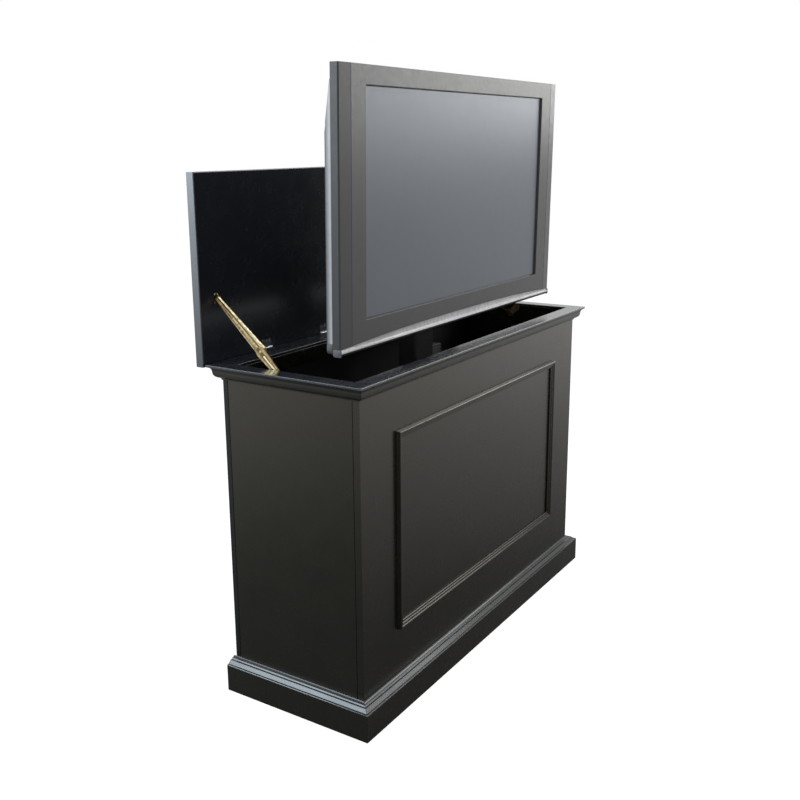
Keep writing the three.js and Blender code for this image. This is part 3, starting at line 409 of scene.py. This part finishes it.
class Finish(NodeTree):
    """A material with its patterns, laid out in the frame of the part at their real size."""

    def __init__(self, name, metallic=0.0, specular=0.5):
        self.material = bpy.data.materials.new(name)
        self.material.use_nodes = True
        super().__init__(self.material.node_tree)
        self.shader = self.tree.nodes["Principled BSDF"]
        self.shade({"Metallic": metallic, "Specular IOR Level": specular})
        self.normal = None

    def shade(self, inputs):
        self.feed(self.shader, inputs)

    def paint(self, colour):
        """Gives the finish its colour, as a socket that later layers can be mixed with."""
        self.colour = colour
        self.shade({"Base Color": colour})

    def vary_colour(self, colours, size, detail=3):
        self.paint(self.mix(self.clouds(size, detail), *colours))

    def vary_roughness(self, low, high, size, detail=3):
        self.shade({"Roughness": self.clouds(size, detail, low, high)})

    def tint_sheen(self, colour):
        self.shade({"Specular Tint": (*colour, 1)})

    def coat(self, weight, roughness):
        self.shade({"Coat Weight": weight, "Coat Roughness": roughness})

    def bump(self, height, depth):
        inputs = {"Height": height, "Distance": depth}
        if self.normal is not None:
            inputs["Normal"] = self.normal
        self.normal = self.node("Bump", inputs, "Normal")
        self.shade({"Normal": self.normal})


def lacquer(name, peel=LACQUER_PEEL, sheen=LACQUER_SHEEN, colours=LACQUER_COLOURS, clouds=0.09):
    """Satin lacquer over sanded board: orange peel, faint sanding streaks, cloudy sheen."""
    finish = Finish(name)
    finish.vary_colour(colours, size=clouds)
    finish.vary_roughness(low=0.24, high=0.29, size=0.05, detail=4)
    finish.tint_sheen(sheen)
    finish.coat(weight=0.15, roughness=0.15)
    finish.bump(finish.noise(size=0.006, detail=2), peel)
    finish.bump(finish.noise(size=0.02, detail=2, stretch=(1, 1, 6)), peel / 2)
    return finish


def rail_lacquer():
    """The lacquer of the top frame, rubbed to more of a shine, and painted paler and bluer than the other
    lacquer as a painted reflection.
    """
    finish = lacquer("rail_lacquer", RAIL_PEEL, RAIL_SHEEN, RAIL_LACQUER_AND_REFLECTION_COLOURS)
    finish.coat(weight=0.3, roughness=0.1)
    return finish


def lid_lacquer():
    """The same lacquer, painted paler and bluer as a painted reflection, with a painted reflection on the
    edges of the lid that is paler towards the top.
    """
    finish = lacquer("lid_lacquer", LID_PEEL, LID_SHEEN, LID_LACQUER_AND_REFLECTION_COLOURS, clouds=0.2)
    low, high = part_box("lid_panel")
    from_middle = finish.compute("ABSOLUTE", finish.coordinate("X"))
    at_edge = finish.compute("GREATER_THAN", from_middle, high[0] - SKIN)
    # The edges get a painted reflection, paler towards the top
    edges = finish.mix(finish.ramp(finish.coordinate("Z"), low[2], high[2]), *LID_EDGE_REFLECTION_COLOURS)
    finish.paint(finish.mix(at_edge, finish.colour, edges))
    return finish


def lacquer_inside():
    finish = Finish("lacquer_inside", specular=0.3)
    finish.vary_colour(INSIDE_COLOURS, size=0.06)
    finish.vary_roughness(low=0.5, high=0.62, size=0.04, detail=4)
    finish.bump(finish.noise(size=0.004, detail=4), depth=0.00003)
    return finish


def chrome():
    finish = Finish("chrome", metallic=1.0)
    finish.shade({"Base Color": linear(*CHROME_COLOUR)})
    finish.vary_roughness(low=0.1, high=0.24, size=0.006, detail=5)
    finish.bump(finish.noise(size=0.0015, detail=2, stretch=(12, 1, 1)), depth=0.000005)
    return finish


def brass(name="brass", colours=BRASS_COLOURS):
    """Plated sheet with pressed dimples and a little tarnish."""
    finish = Finish(name, metallic=1.0)
    finish.vary_colour(colours, size=0.007, detail=5)
    finish.vary_roughness(low=0.24, high=0.42, size=0.004, detail=4)
    finish.bump(finish.dimples(size=0.0028), depth=0.00007)
    return finish


def arm_brass(name, start, end, stripe, colours):
    """Brass of a stay arm, with a stripe of painted shade that runs along it from start to end."""
    finish = brass(name, colours)
    along = (Vector(end) - Vector(start)).normalized()
    across = Vector((0, along.y, -along.x))
    if across.z < 0:
        across = -across
    low, high = stripe
    middle = across.dot(Vector((0, *start))) + (low + high) / 2
    half = (high - low) / 2
    offset = finish.compute("SUBTRACT", finish.distance_along(across), middle)
    inside = finish.ramp(finish.compute("ABSOLUTE", offset), half + STRIPE_FADE, half - STRIPE_FADE)
    # Paints the stripe's shade over the brass
    finish.paint(finish.mix(inside, finish.colour, STRIPE_SHADE_COLOUR))
    return finish


def shades(colour, shares):
    """The dark and the light shade of a colour."""
    return [[share * channel for channel in colour] for share in shares]


def powder_coat(name, colour, roughness):
    finish = Finish(name, metallic=0.2)
    spread = POWDER_ROUGHNESS_SPREAD
    finish.vary_colour(shades(colour, POWDER_SHADE_SHARES), size=0.03, detail=4)
    finish.vary_roughness(roughness - spread, roughness + spread, size=0.01)
    finish.bump(finish.noise(size=0.0012), depth=0.00004)
    return finish


def moulded_plastic(name, colour, roughness, grain=PLASTIC_GRAIN):
    """Injection moulded plastic with a fine etched grain."""
    finish = Finish(name)
    spread = PLASTIC_ROUGHNESS_SPREAD
    finish.vary_colour(shades(colour, PLASTIC_SHADE_SHARES), size=0.05)
    finish.vary_roughness(roughness - spread, roughness + spread, size=0.012, detail=4)
    finish.bump(finish.noise(size=0.008), depth=grain)
    return finish


def back_cover():
    """Dark grained plastic, a little paler on the sides than on the rear."""
    finish = moulded_plastic("back_cover", *COVER_PLASTIC)
    side_end = TV_PLACE[1] + TV_RIM + TV_COVER_BAND + SKIN
    on_side = finish.compute("LESS_THAN", finish.coordinate("Y"), side_end)
    finish.paint(finish.mix(on_side, finish.colour, COVER_SIDE_COLOUR))
    return finish


def band_silver():
    """Silver paint on the side of the rear cover, darker towards the rear."""
    finish = moulded_plastic("band_silver", *SILVER_PAINT)
    backwards = Vector((0, math.cos(TV_LEAN), math.sin(TV_LEAN)))
    front = backwards.dot(Vector(TV_PLACE)) + TV_RIM
    fade = finish.ramp(finish.distance_along(backwards), front + BAND_LIGHT_WIDTH, front + BAND_WIDTH)
    finish.paint(finish.mix(fade, finish.colour, BAND_REAR_COLOUR))
    return finish


def screen_glass():
    """Anti-glare glass over a grey panel, switched off."""
    finish = Finish("screen", specular=0.75)
    finish.vary_colour(SCREEN_COLOURS, size=0.25, detail=2)
    finish.vary_roughness(low=0.38, high=0.42, size=0.03, detail=5)
    finish.tint_sheen(SCREEN_SHEEN)
    finish.bump(finish.noise(size=0.01, detail=2), depth=0.000002)
    return finish


def make_finishes():
    """The finish of each slot of the record."""
    return {
        "lacquer": lacquer("lacquer"),
        "lacquer_inside": lacquer_inside(),
        "chrome": chrome(),
        "brass": brass(),
        "steel": powder_coat("steel", *STEEL),
        "motor_casing": powder_coat("motor_casing", *MOTOR_CASING),
        "black_plastic": moulded_plastic("black_plastic", *BLACK_PLASTIC),
        "grey_plastic": moulded_plastic("grey_plastic", *GREY_PLASTIC),
        "bezel": moulded_plastic("bezel", *BEZEL_PLASTIC),
        "silver": moulded_plastic("silver", *SILVER_PAINT),
        "back_cover": back_cover(),
        "screen": screen_glass(),
    }


def make_node_finishes():
    """Finishes of the nodes that look different from their slot, by the start of their names."""
    trim = lacquer("trim_lacquer", TRIM_PEEL)
    return {
        "lid_panel": lid_lacquer(),
        "top_frame": rail_lacquer(),
        "panel_moulding": trim,
        "crown": trim,
        "base_cap": lacquer("cap_lacquer", TRIM_PEEL, BASE_CAP_SHEEN),
        "tv_chin_strip": moulded_plastic("strip", *STRIP_PAINT),
        # Darker plastic for the control box: painted shade
        "lift_control_box": moulded_plastic("control_box", *BOX_SHADED_PLASTIC),
        "stay_upper_arm": arm_brass("brass_upper_arm", LID_PIVOT, ELBOW, UPPER_STRIPE, UPPER_ARM_LIT_COLOURS),
        "stay_lower_arm": arm_brass("brass_lower_arm", ELBOW, WALL_PIVOT, LOWER_STRIPE, LOWER_ARM_COLOURS),
        # The lid bracket's brass is painted darker, as painted shade
        "stay_lid_bracket": brass("brass_bracket", LID_BRACKET_SHADED_COLOURS),
    }


def by_start(name, choices, otherwise):
    """The choice whose key the name starts with."""
    for start, choice in choices.items():
        if name.startswith(start):
            return choice
    return otherwise


def soften_edges(node, radius):
    weld = node.modifiers.new("weld", "WELD")
    weld.merge_threshold = WELD_REACH
    bevel = node.modifiers.new("edges", "BEVEL")
    bevel.width = radius
    bevel.segments = EDGE_SEGMENTS
    bevel.limit_method = "ANGLE"
    bevel.angle_limit = EDGE_ANGLE
    bevel.harden_normals = True


def dress_nodes(finishes, node_finishes):
    """Gives each node its material, and soft edges where it has them."""
    for part in frame["record"]["subparts"]:
        name = part["node"]
        slot = part["material_slot"]
        node = nodes[name]
        node.data.materials.clear()
        node.data.materials.append(by_start(name, node_finishes, finishes[slot]).material)
        radius = by_start(name, NODE_EDGES, SLOT_EDGES.get(slot))
        if radius:
            soften_edges(node, radius)
    # A second time, for the edges of the top frame that the first one leaves above the angle
    soften_edges(nodes["top_frame"], NODE_EDGES["top_frame"])


class Shape:
    """Gathers closed solids and turns them into one mesh."""

    def __init__(self):
        self.solid = bmesh.new()

    def loops(self, loops, place, closed=False):
        """Joins loops of equal length one after the other, and caps the ends or closes the ring."""
        rows = [[self.solid.verts.new(place @ Vector(point)) for point in loop] for loop in loops]
        following = rows[1:] + rows[:1] if closed else rows[1:]
        for near, far in zip(rows, following):
            for i, corner in enumerate(near):
                j = (i + 1) % len(near)
                self.solid.faces.new((corner, near[j], far[j], far[i]))
        if not closed:
            self.solid.faces.new(rows[0][::-1])
            self.solid.faces.new(rows[-1])

    def piece(self, name, finish, body, slot):
        """Makes a piece that rides on the body and has the finish that it is given. The slot is not used."""
        bmesh.ops.recalc_face_normals(self.solid, faces=self.solid.faces)
        mesh = bpy.data.meshes.new(name)
        self.solid.to_mesh(mesh)
        self.solid.free()
        mesh.shade_smooth()
        mesh.set_sharp_from_angle(angle=SHARP_ANGLE)
        mesh.materials.append(finish.material)
        piece = bpy.data.objects.new(name, mesh)
        bpy.context.scene.collection.objects.link(piece)
        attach(piece, body)


def facing(place, normal, along=(0, 0, 1)):
    """A place on a surface: Z points out along the normal, and X lies nearest to along."""
    out = Vector(normal).normalized()
    across = Vector(along) - Vector(along).dot(out) * out
    across.normalize()
    turn = Matrix((across, out.cross(across), out)).transposed().to_4x4()
    return Matrix.Translation(place) @ turn


def upward(x, y, z):
    return facing((x, y, z), (0, 0, 1), (1, 0, 0))


def forward(x, y, z):
    return facing((x, y, z), (0, -1, 0), (1, 0, 0))


def backward(x, y, z):
    return facing((x, y, z), (0, 1, 0), (1, 0, 0))


def television_frame():
    return Matrix.Translation(TV_PLACE) @ Matrix.Rotation(TV_LEAN, 4, "X")


def television(x, y, z):
    """A place in the television's own frame, as a place in the frame of the part."""
    return television_frame() @ Vector((x, y, z))


def middle_of(low, high):
    return (Vector(low) + Vector(high)) / 2


def ring(radius, level, steps=ROUND_STEPS):
    """A ring whose first point lies a step back, where the outline of a cross starts."""
    angles = [math.tau * (i - 1) / steps for i in range(steps)]
    return [(radius * math.cos(a), radius * math.sin(a), level) for a in angles]


def cross_outline(length, width, level):
    """The outline of a cross recess, with a point for each point of a round ring."""
    middle = (length + width) / 2
    points = [(length, -width), (length, 0), (length, width)]
    points += [(middle, width), (width, width), (width, middle)]
    outline = []
    for quarter in range(4):
        turn = Matrix.Rotation(math.radians(90 * quarter), 2)
        outline += [(*(turn @ Vector(point)), level) for point in points]
    return outline


def screw(shape, place, radius, height_share=SCREW_HEIGHT_SHARE):
    """A low domed head with a cross recess."""
    top = radius * height_share
    loops = [ring(radius * across, top * level) for across, level in SCREW_SHARES]
    for length, width, level in CROSS_SHARES:
        loops.append(cross_outline(radius * length, radius * width, top * level))
    shape.loops(loops, place)


def bolt(shape, place, radius):
    """A hexagon head on its washer."""
    for shares, steps in ((WASHER_SHARES, ROUND_STEPS), (HEXAGON_SHARES, HEXAGON_STEPS)):
        shape.loops([ring(radius * across, radius * level, steps) for across, level in shares], place)


def rounded(width, height, radius, level):
    """A rectangle with round corners, centred, at a level."""
    points = []
    for quarter, (side, end) in enumerate(((1, 1), (-1, 1), (-1, -1), (1, -1))):
        x = side * (width / 2 - radius)
        y = end * (height / 2 - radius)
        for i in range(CORNER_STEPS + 1):
            angle = math.radians(90 * (quarter + i / CORNER_STEPS))
            points.append((x + radius * math.cos(angle), y + radius * math.sin(angle), level))
    return points


def pad(shape, place, size, corner, edge):
    """A plate of this width, height and thickness, with round corners and a softened outer edge."""
    width, height, thickness = size
    bend = edge * EDGE_BEND_SHARE
    shape.loops(
        [
            rounded(width, height, corner, 0),
            rounded(width, height, corner, thickness - edge),
            rounded(width - 2 * bend, height - 2 * bend, max(corner - bend, edge), thickness - bend),
            rounded(width - 2 * edge, height - 2 * edge, max(corner - edge, edge / 2), thickness),
        ],
        place,
    )


def add_hinge_screws(finishes):
    for number in range(1, HINGE_COUNT + 1):
        low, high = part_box(f"hinge_rail_leaf_{number}")
        middle = middle_of(low, high)
        top = low[2] + RAIL_LEAF_FACE
        rail = Shape()
        for across, row in ((-1, 0), (1, 0), (0, 1)):
            x = middle.x + across * HINGE_SCREW_SPREAD
            y = low[1] + HINGE_SCREW_EDGE + row * HINGE_SCREW_ROW
            screw(rail, upward(x, y, top), HINGE_SCREW, HINGE_SCREW_HEIGHT_SHARE)
        rail.piece(f"hinge_rail_screws_{number}", finishes["chrome"], "root", "chrome")

        low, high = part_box(f"hinge_lid_leaf_{number}")
        face = high[1] - LID_LEAF_THICKNESS
        leaf = Shape()
        for across in (-1, 0, 1):
            place = forward(middle.x + across * HINGE_SCREW_SPREAD, face, high[2] - HINGE_SCREW_EDGE)
            screw(leaf, place, HINGE_SCREW, HINGE_SCREW_HEIGHT_SHARE)
        leaf.piece(f"hinge_lid_screws_{number}", finishes["chrome"], "lid", "chrome")


def add_stay_rib(side, name, face, finish):
    """The pressed rib along the lower arm."""
    along = (Vector(ELBOW) - Vector(WALL_PIVOT)).normalized()
    middle = Vector(WALL_PIVOT) + along * (RIB_START + RIB_LENGTH / 2)
    rib = Shape()
    place = facing((face, *middle), (side, 0, 0), (0, *along))
    pad(rib, place, (RIB_LENGTH, RIB_WIDTH, RIB_HEIGHT), RIB_CORNER, RIB_EDGE)
    rib.piece(f"stay_rib_{name}", finish, f"stay_lower_{name}", "brass")


def add_stay_rivet(side, name, face, finish):
    rivet = Shape()
    rivet.loops(
        [
            ring(RIVET, 0),
            ring(RIVET * RIVET_STEP_SHARE, RIVET_STEP),
            ring(RIVET * RIVET_TOP_SHARE, RIVET_HEIGHT),
        ],
        facing((face, *ELBOW), (side, 0, 0)),
    )
    rivet.piece(f"stay_rivet_{name}", finish, f"stay_lower_{name}", "brass")


def add_stay_lid_screws(side, name, finish):
    low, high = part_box(f"stay_lid_bracket_{name}")
    x = middle_of(low, high).x + side * LID_SCREW_SHIFT
    bracket = Shape()
    for end in (-1, 1):
        place = forward(x, high[1] - LID_FLANGE, LID_PIVOT[1] + end * LID_SCREW_SPREAD)
        screw(bracket, place, STAY_SCREW)
    bracket.piece(f"stay_lid_screws_{name}", finish, "lid", "brass")


def add_stay_wall_screws(side, name, finish):
    low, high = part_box(f"stay_wall_bracket_{name}")
    inner = high[0] if side < 0 else low[0]
    across, rise = WALL_SCREW_SPREAD
    wall = Shape()
    for end in (-1, 1):
        y = low[1] + WALL_SCREW_CORNER + end * across
        z = high[2] - WALL_SCREW_CORNER + end * rise
        place = facing((inner + side * WALL_PIN_REACH, y, z), (-side, 0, 0))
        screw(wall, place, STAY_SCREW, WALL_SCREW_HEIGHT_SHARE)
    wall.piece(f"stay_wall_screws_{name}", finish, "root", "brass")


def add_stay_details(finishes):
    # The rib's paler brass is a painted highlight
    rib_brass = brass("brass_rib_highlight", RIB_HIGHLIGHT_COLOURS)
    for side, name in sides:
        low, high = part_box(f"stay_lower_arm_{name}")
        face = low[0] if side < 0 else high[0]
        add_stay_rib(side, name, face, rib_brass)
        add_stay_rivet(side, name, face, finishes["brass"])
        add_stay_lid_screws(side, name, finishes["brass"])
        add_stay_wall_screws(side, name, finishes["brass"])


def add_service_screws(finishes):
    low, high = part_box("access_panel")
    cover = Shape()
    for x in (low[0] + SERVICE_SCREW_INSET, middle_of(low, high).x, high[0] - SERVICE_SCREW_INSET):
        for z in (low[2] + SERVICE_SCREW_INSET, high[2] - SERVICE_SCREW_INSET):
            screw(cover, backward(x, high[1], z), PANEL_SCREW)
    cover.piece("access_panel_screws", finishes["steel"], "root", "steel")


def add_base_bolts(finishes):
    low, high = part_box("lift_base_plate")
    plate = Shape()
    for x in (low[0] + BASE_BOLT_INSET, high[0] - BASE_BOLT_INSET):
        for y in (low[1] + BASE_BOLT_INSET, high[1] - BASE_BOLT_INSET):
            bolt(plate, upward(x, y, high[2]), BASE_BOLT)
    plate.piece("base_plate_bolts", finishes["steel"], "root", "steel")


def add_collar_screws(finishes):
    for stage, body in (("outer", "root"), ("middle", "lift_middle_stage")):
        low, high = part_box(f"lift_{stage}_collar")
        collar = Shape()
        for x in (-COLLAR_SCREW_SPREAD, COLLAR_SCREW_SPREAD):
            screw(collar, forward(x, low[1], high[2] - COLLAR_SCREW_DROP), COLLAR_SCREW)
        collar.piece(f"collar_screws_{stage}", finishes["steel"], body, "steel")


def add_rail_bolts(finishes):
    for side, name in sides:
        x = middle_of(*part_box(f"vesa_rail_{name}")).x
        rail = Shape()
        for z in RAIL_BOLT_HEIGHTS:
            place = television(x, TV_COVER_REAR + RAIL_WEB, z)
            bolt(rail, facing(place, (0, 1, TV_LEAN), (1, 0, 0)), RAIL_BOLT)
        rail.piece(f"rail_bolts_{name}", finishes["steel"], "lift_carriage", "steel")


def add_motor_rings(finishes):
    """Two rings round the can of the motor, and the screws on its gearbox."""
    low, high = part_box("lift_motor")
    middle = middle_of(low, high)
    gearbox_top = low[2] + GEARBOX_HEIGHT
    outer = CAN_RADIUS + CAN_RING_THICKNESS
    motor = Shape()
    for height in CAN_RING_HEIGHTS:
        bottom = gearbox_top + height
        top = bottom + CAN_RING_WIDTH
        motor.loops(
            [
                ring(CAN_RADIUS, bottom),
                ring(outer, bottom + CAN_RING_THICKNESS),
                ring(outer, top - CAN_RING_THICKNESS),
                ring(CAN_RADIUS, top),
            ],
            Matrix.Translation((middle.x, middle.y, 0)),
        )
    across, deep = GEARBOX_SCREW_SPREAD
    for turn in range(4):
        angle = math.radians(45 + 90 * turn)
        x = middle.x + across * math.cos(angle)
        y = middle.y + deep * math.sin(angle)
        screw(motor, upward(x, y, gearbox_top), SMALL_SCREW)
    motor.piece("motor_rings", finishes["motor_casing"], "root", "motor_casing")


def add_control_box_cover(finish):
    low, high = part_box("lift_control_box")
    middle = middle_of(low, high)
    width = high[0] - low[0]
    height = high[2] - low[2]
    box = Shape()
    size = (width - 2 * BOX_COVER_INSET, height - 2 * BOX_COVER_INSET, BOX_COVER_THICKNESS)
    pad(box, forward(middle.x, low[1], middle.z), size, BOX_COVER_CORNER, BOX_COVER_EDGE)
    for x in (low[0] + BOX_SCREW_INSET, high[0] - BOX_SCREW_INSET):
        for z in (low[2] + BOX_SCREW_INSET, high[2] - BOX_SCREW_INSET):
            screw(box, forward(x, low[1] - BOX_COVER_THICKNESS, z), SMALL_SCREW)
    box.piece("control_box_cover", finish, "root", "grey_plastic")


def screen_opening(inset, y):
    """The opening for the screen, drawn in by an inset, at a depth in the television's frame."""
    half = SCREEN_WIDTH / 2 - inset
    low = SCREEN_BOTTOM + inset
    high = SCREEN_BOTTOM + SCREEN_HEIGHT - inset
    return [(-half, y, low), (half, y, low), (half, y, high), (-half, y, high)]


def add_screen_surround(finishes):
    front = -TV_FACE_STEP + SURROUND_FRONT
    glass = -TV_FACE_STEP + SCREEN_RECESS - SKIN
    surround = Shape()
    surround.loops(
        [
            screen_opening(SURROUND_GAP, front),
            screen_opening(SURROUND_LIP, front),
            screen_opening(SURROUND_SLOPE, glass - SURROUND_FOOT),
            screen_opening(SURROUND_SLOPE, glass),
            screen_opening(SURROUND_GAP, glass),
        ],
        television_frame(),
        closed=True,
    )
    surround.piece("screen_surround", finishes["black_plastic"], "lift_carriage", "black_plastic")


def band_outline(x, inset):
    """The band on the side of the rear cover, which narrows where the cover slopes off at the top."""
    front = TV_RIM + BAND_GAP + inset
    rear = TV_RIM + BAND_GAP + BAND_WIDTH - inset
    top_rear = TV_RIM + BAND_GAP + BAND_TOP_WIDTH - inset
    low = COVER_CAP_TOP + inset
    high = BAND_TOP - inset
    return [(x, front, low), (x, rear, low), (x, rear, BAND_SHOULDER), (x, top_rear, high), (x, front, high)]


def add_cover_band(side, name, finish):
    band = Shape()
    steps = ((-SKIN, 0), (BAND_THICKNESS - BAND_EDGE, 0), (BAND_THICKNESS, BAND_EDGE))
    outlines = [band_outline(side * (TV_COVER_SIDE + rise), inset) for rise, inset in steps]
    band.loops(outlines, television_frame())
    band.piece(f"cover_band_{name}", finish, "lift_carriage", "silver")


def add_side_cap(side, name, finish, middle, size, corner, edge):
    """A cap that lies against the side of the television, round a place seen from the side."""
    cap = Shape()
    place = television(side * TV_COVER_SIDE, *middle)
    pad(cap, facing(place, (side, 0, 0), (0, -TV_LEAN, 1)), size, corner, edge)
    cap.piece(name, finish, "lift_carriage", "grey_plastic")


def add_bar_cap(side, name, finish):
    middle = ((BAR_FRONT + BAR_REAR) / 2, (BAR_TOP + BAR_BOTTOM) / 2)
    size = (BAR_TOP - BAR_BOTTOM, BAR_REAR - BAR_FRONT, BAR_CAP_THICKNESS)
    add_side_cap(side, f"bar_cap_{name}", finish, middle, size, BAR_CAP_CORNER, BAR_CAP_EDGE)


def add_cover_cap(side, name, finish):
    height = COVER_CAP_TOP + TV_COVER_FOOT - COVER_CAP_MARGIN
    middle = (TV_RIM + TV_COVER_BAND / 2, COVER_CAP_TOP - COVER_CAP_GAP - height / 2)
    size = (height, TV_COVER_BAND * COVER_CAP_WIDTH_SHARE, COVER_CAP_THICKNESS)
    add_side_cap(side, f"cover_cap_{name}", finish, middle, size, COVER_CAP_CORNER, COVER_CAP_EDGE)


def add_television_trim(finishes):
    silver = band_silver()
    for side, name in sides:
        add_cover_band(side, name, silver)
        add_bar_cap(side, name, finishes["grey_plastic"])
        add_cover_cap(side, name, finishes["grey_plastic"])


def seen_directly(tree, rays):
    """1 for camera, glossy and transmission rays, and 0 for the rays that only carry light."""
    seen = rays["Is Camera Ray"]
    for kind in ("Is Glossy Ray", "Is Transmission Ray"):
        seen = tree.node("Math", {0: seen, 1: rays[kind]}, 0, operation="ADD", use_clamp=True)
    return seen


def white_world():
    world = bpy.data.worlds.new("world")
    bpy.context.scene.world = world
    world.use_nodes = True
    tree = NodeTree(world.node_tree)
    strength = tree.ramp(seen_directly(tree, tree.rays()), low=WORLD_LIGHT, high=1)
    tree.feed(world.node_tree.nodes["Background"], {"Color": (1, 1, 1, 1), "Strength": strength})


def floor_glow(tree):
    """White to the camera. In gloss it is darker near the object, where that shades it."""
    oval = {"Vector": tree.place(), "Scale": FLOOR_OVAL_STRETCH, "Location": FLOOR_OVAL_SHIFT}
    place = tree.node("Mapping", oval, "Vector")
    distance = tree.node("VectorMath", {0: place}, "Value", operation="LENGTH")
    away = tree.compute("POWER", tree.ramp(distance, FLOOR_NEAR, FLOOR_FAR), FLOOR_GLOW_POWER)
    gloss = tree.ramp(away, low=FLOOR_NEAR_GLOW, high=FLOOR_FAR_GLOW)
    rays = tree.rays()
    glow = tree.node("Mix", {"Factor": rays["Is Camera Ray"], "A": gloss, "B": FLOOR_WHITE}, "Result")
    return tree.compute("MULTIPLY", seen_directly(tree, rays), glow)


def make_floor():
    mesh = bpy.data.meshes.new("floor")
    half = FLOOR_SIZE / 2
    corners = [(-half, -half, 0), (half, -half, 0), (half, half, 0), (-half, half, 0)]
    mesh.from_pydata(corners, [], [(0, 1, 2, 3)])
    floor = bpy.data.objects.new("floor", mesh)
    floor.location.z = -SKIN
    bpy.context.scene.collection.objects.link(floor)
    finish = Finish("floor", specular=0.0)
    finish.shade(
        {
            "Base Color": (FLOOR_SHADE, FLOOR_SHADE, FLOOR_SHADE, 1),
            "Roughness": 1.0,
            "Emission Color": (1, 1, 1, 1),
            "Emission Strength": floor_glow(finish),
        }
    )
    mesh.materials.append(finish.material)


def make_lights():
    for name, box in SOFTBOXES.items():
        data = bpy.data.lights.new(name, "AREA")
        data.shape = "RECTANGLE"
        width, height = box.size
        data.size = width
        data.size_y = height
        data.energy = BRIGHTNESS_WATTS * width * height * box.brightness
        data.color = box.colour
        light = bpy.data.objects.new(name, data)
        direction = Vector(box.target) - Vector(box.place)
        turn = direction.to_track_quat("-Z", "Y").to_matrix().to_4x4()
        light.matrix_world = Matrix.Translation(box.place) @ turn
        light.visible_camera = False
        bpy.context.scene.collection.objects.link(light)


make_camera()
finishes = make_finishes()
node_finishes = make_node_finishes()
dress_nodes(finishes, node_finishes)
add_hinge_screws(finishes)
add_stay_details(finishes)
add_service_screws(finishes)
add_base_bolts(finishes)
add_collar_screws(finishes)
add_rail_bolts(finishes)
add_motor_rings(finishes)
add_control_box_cover(node_finishes["lift_control_box"])
add_screen_surround(finishes)
add_television_trim(finishes)
white_world()
make_floor()
make_lights()
bpy.context.scene.view_settings.view_transform = "Standard"
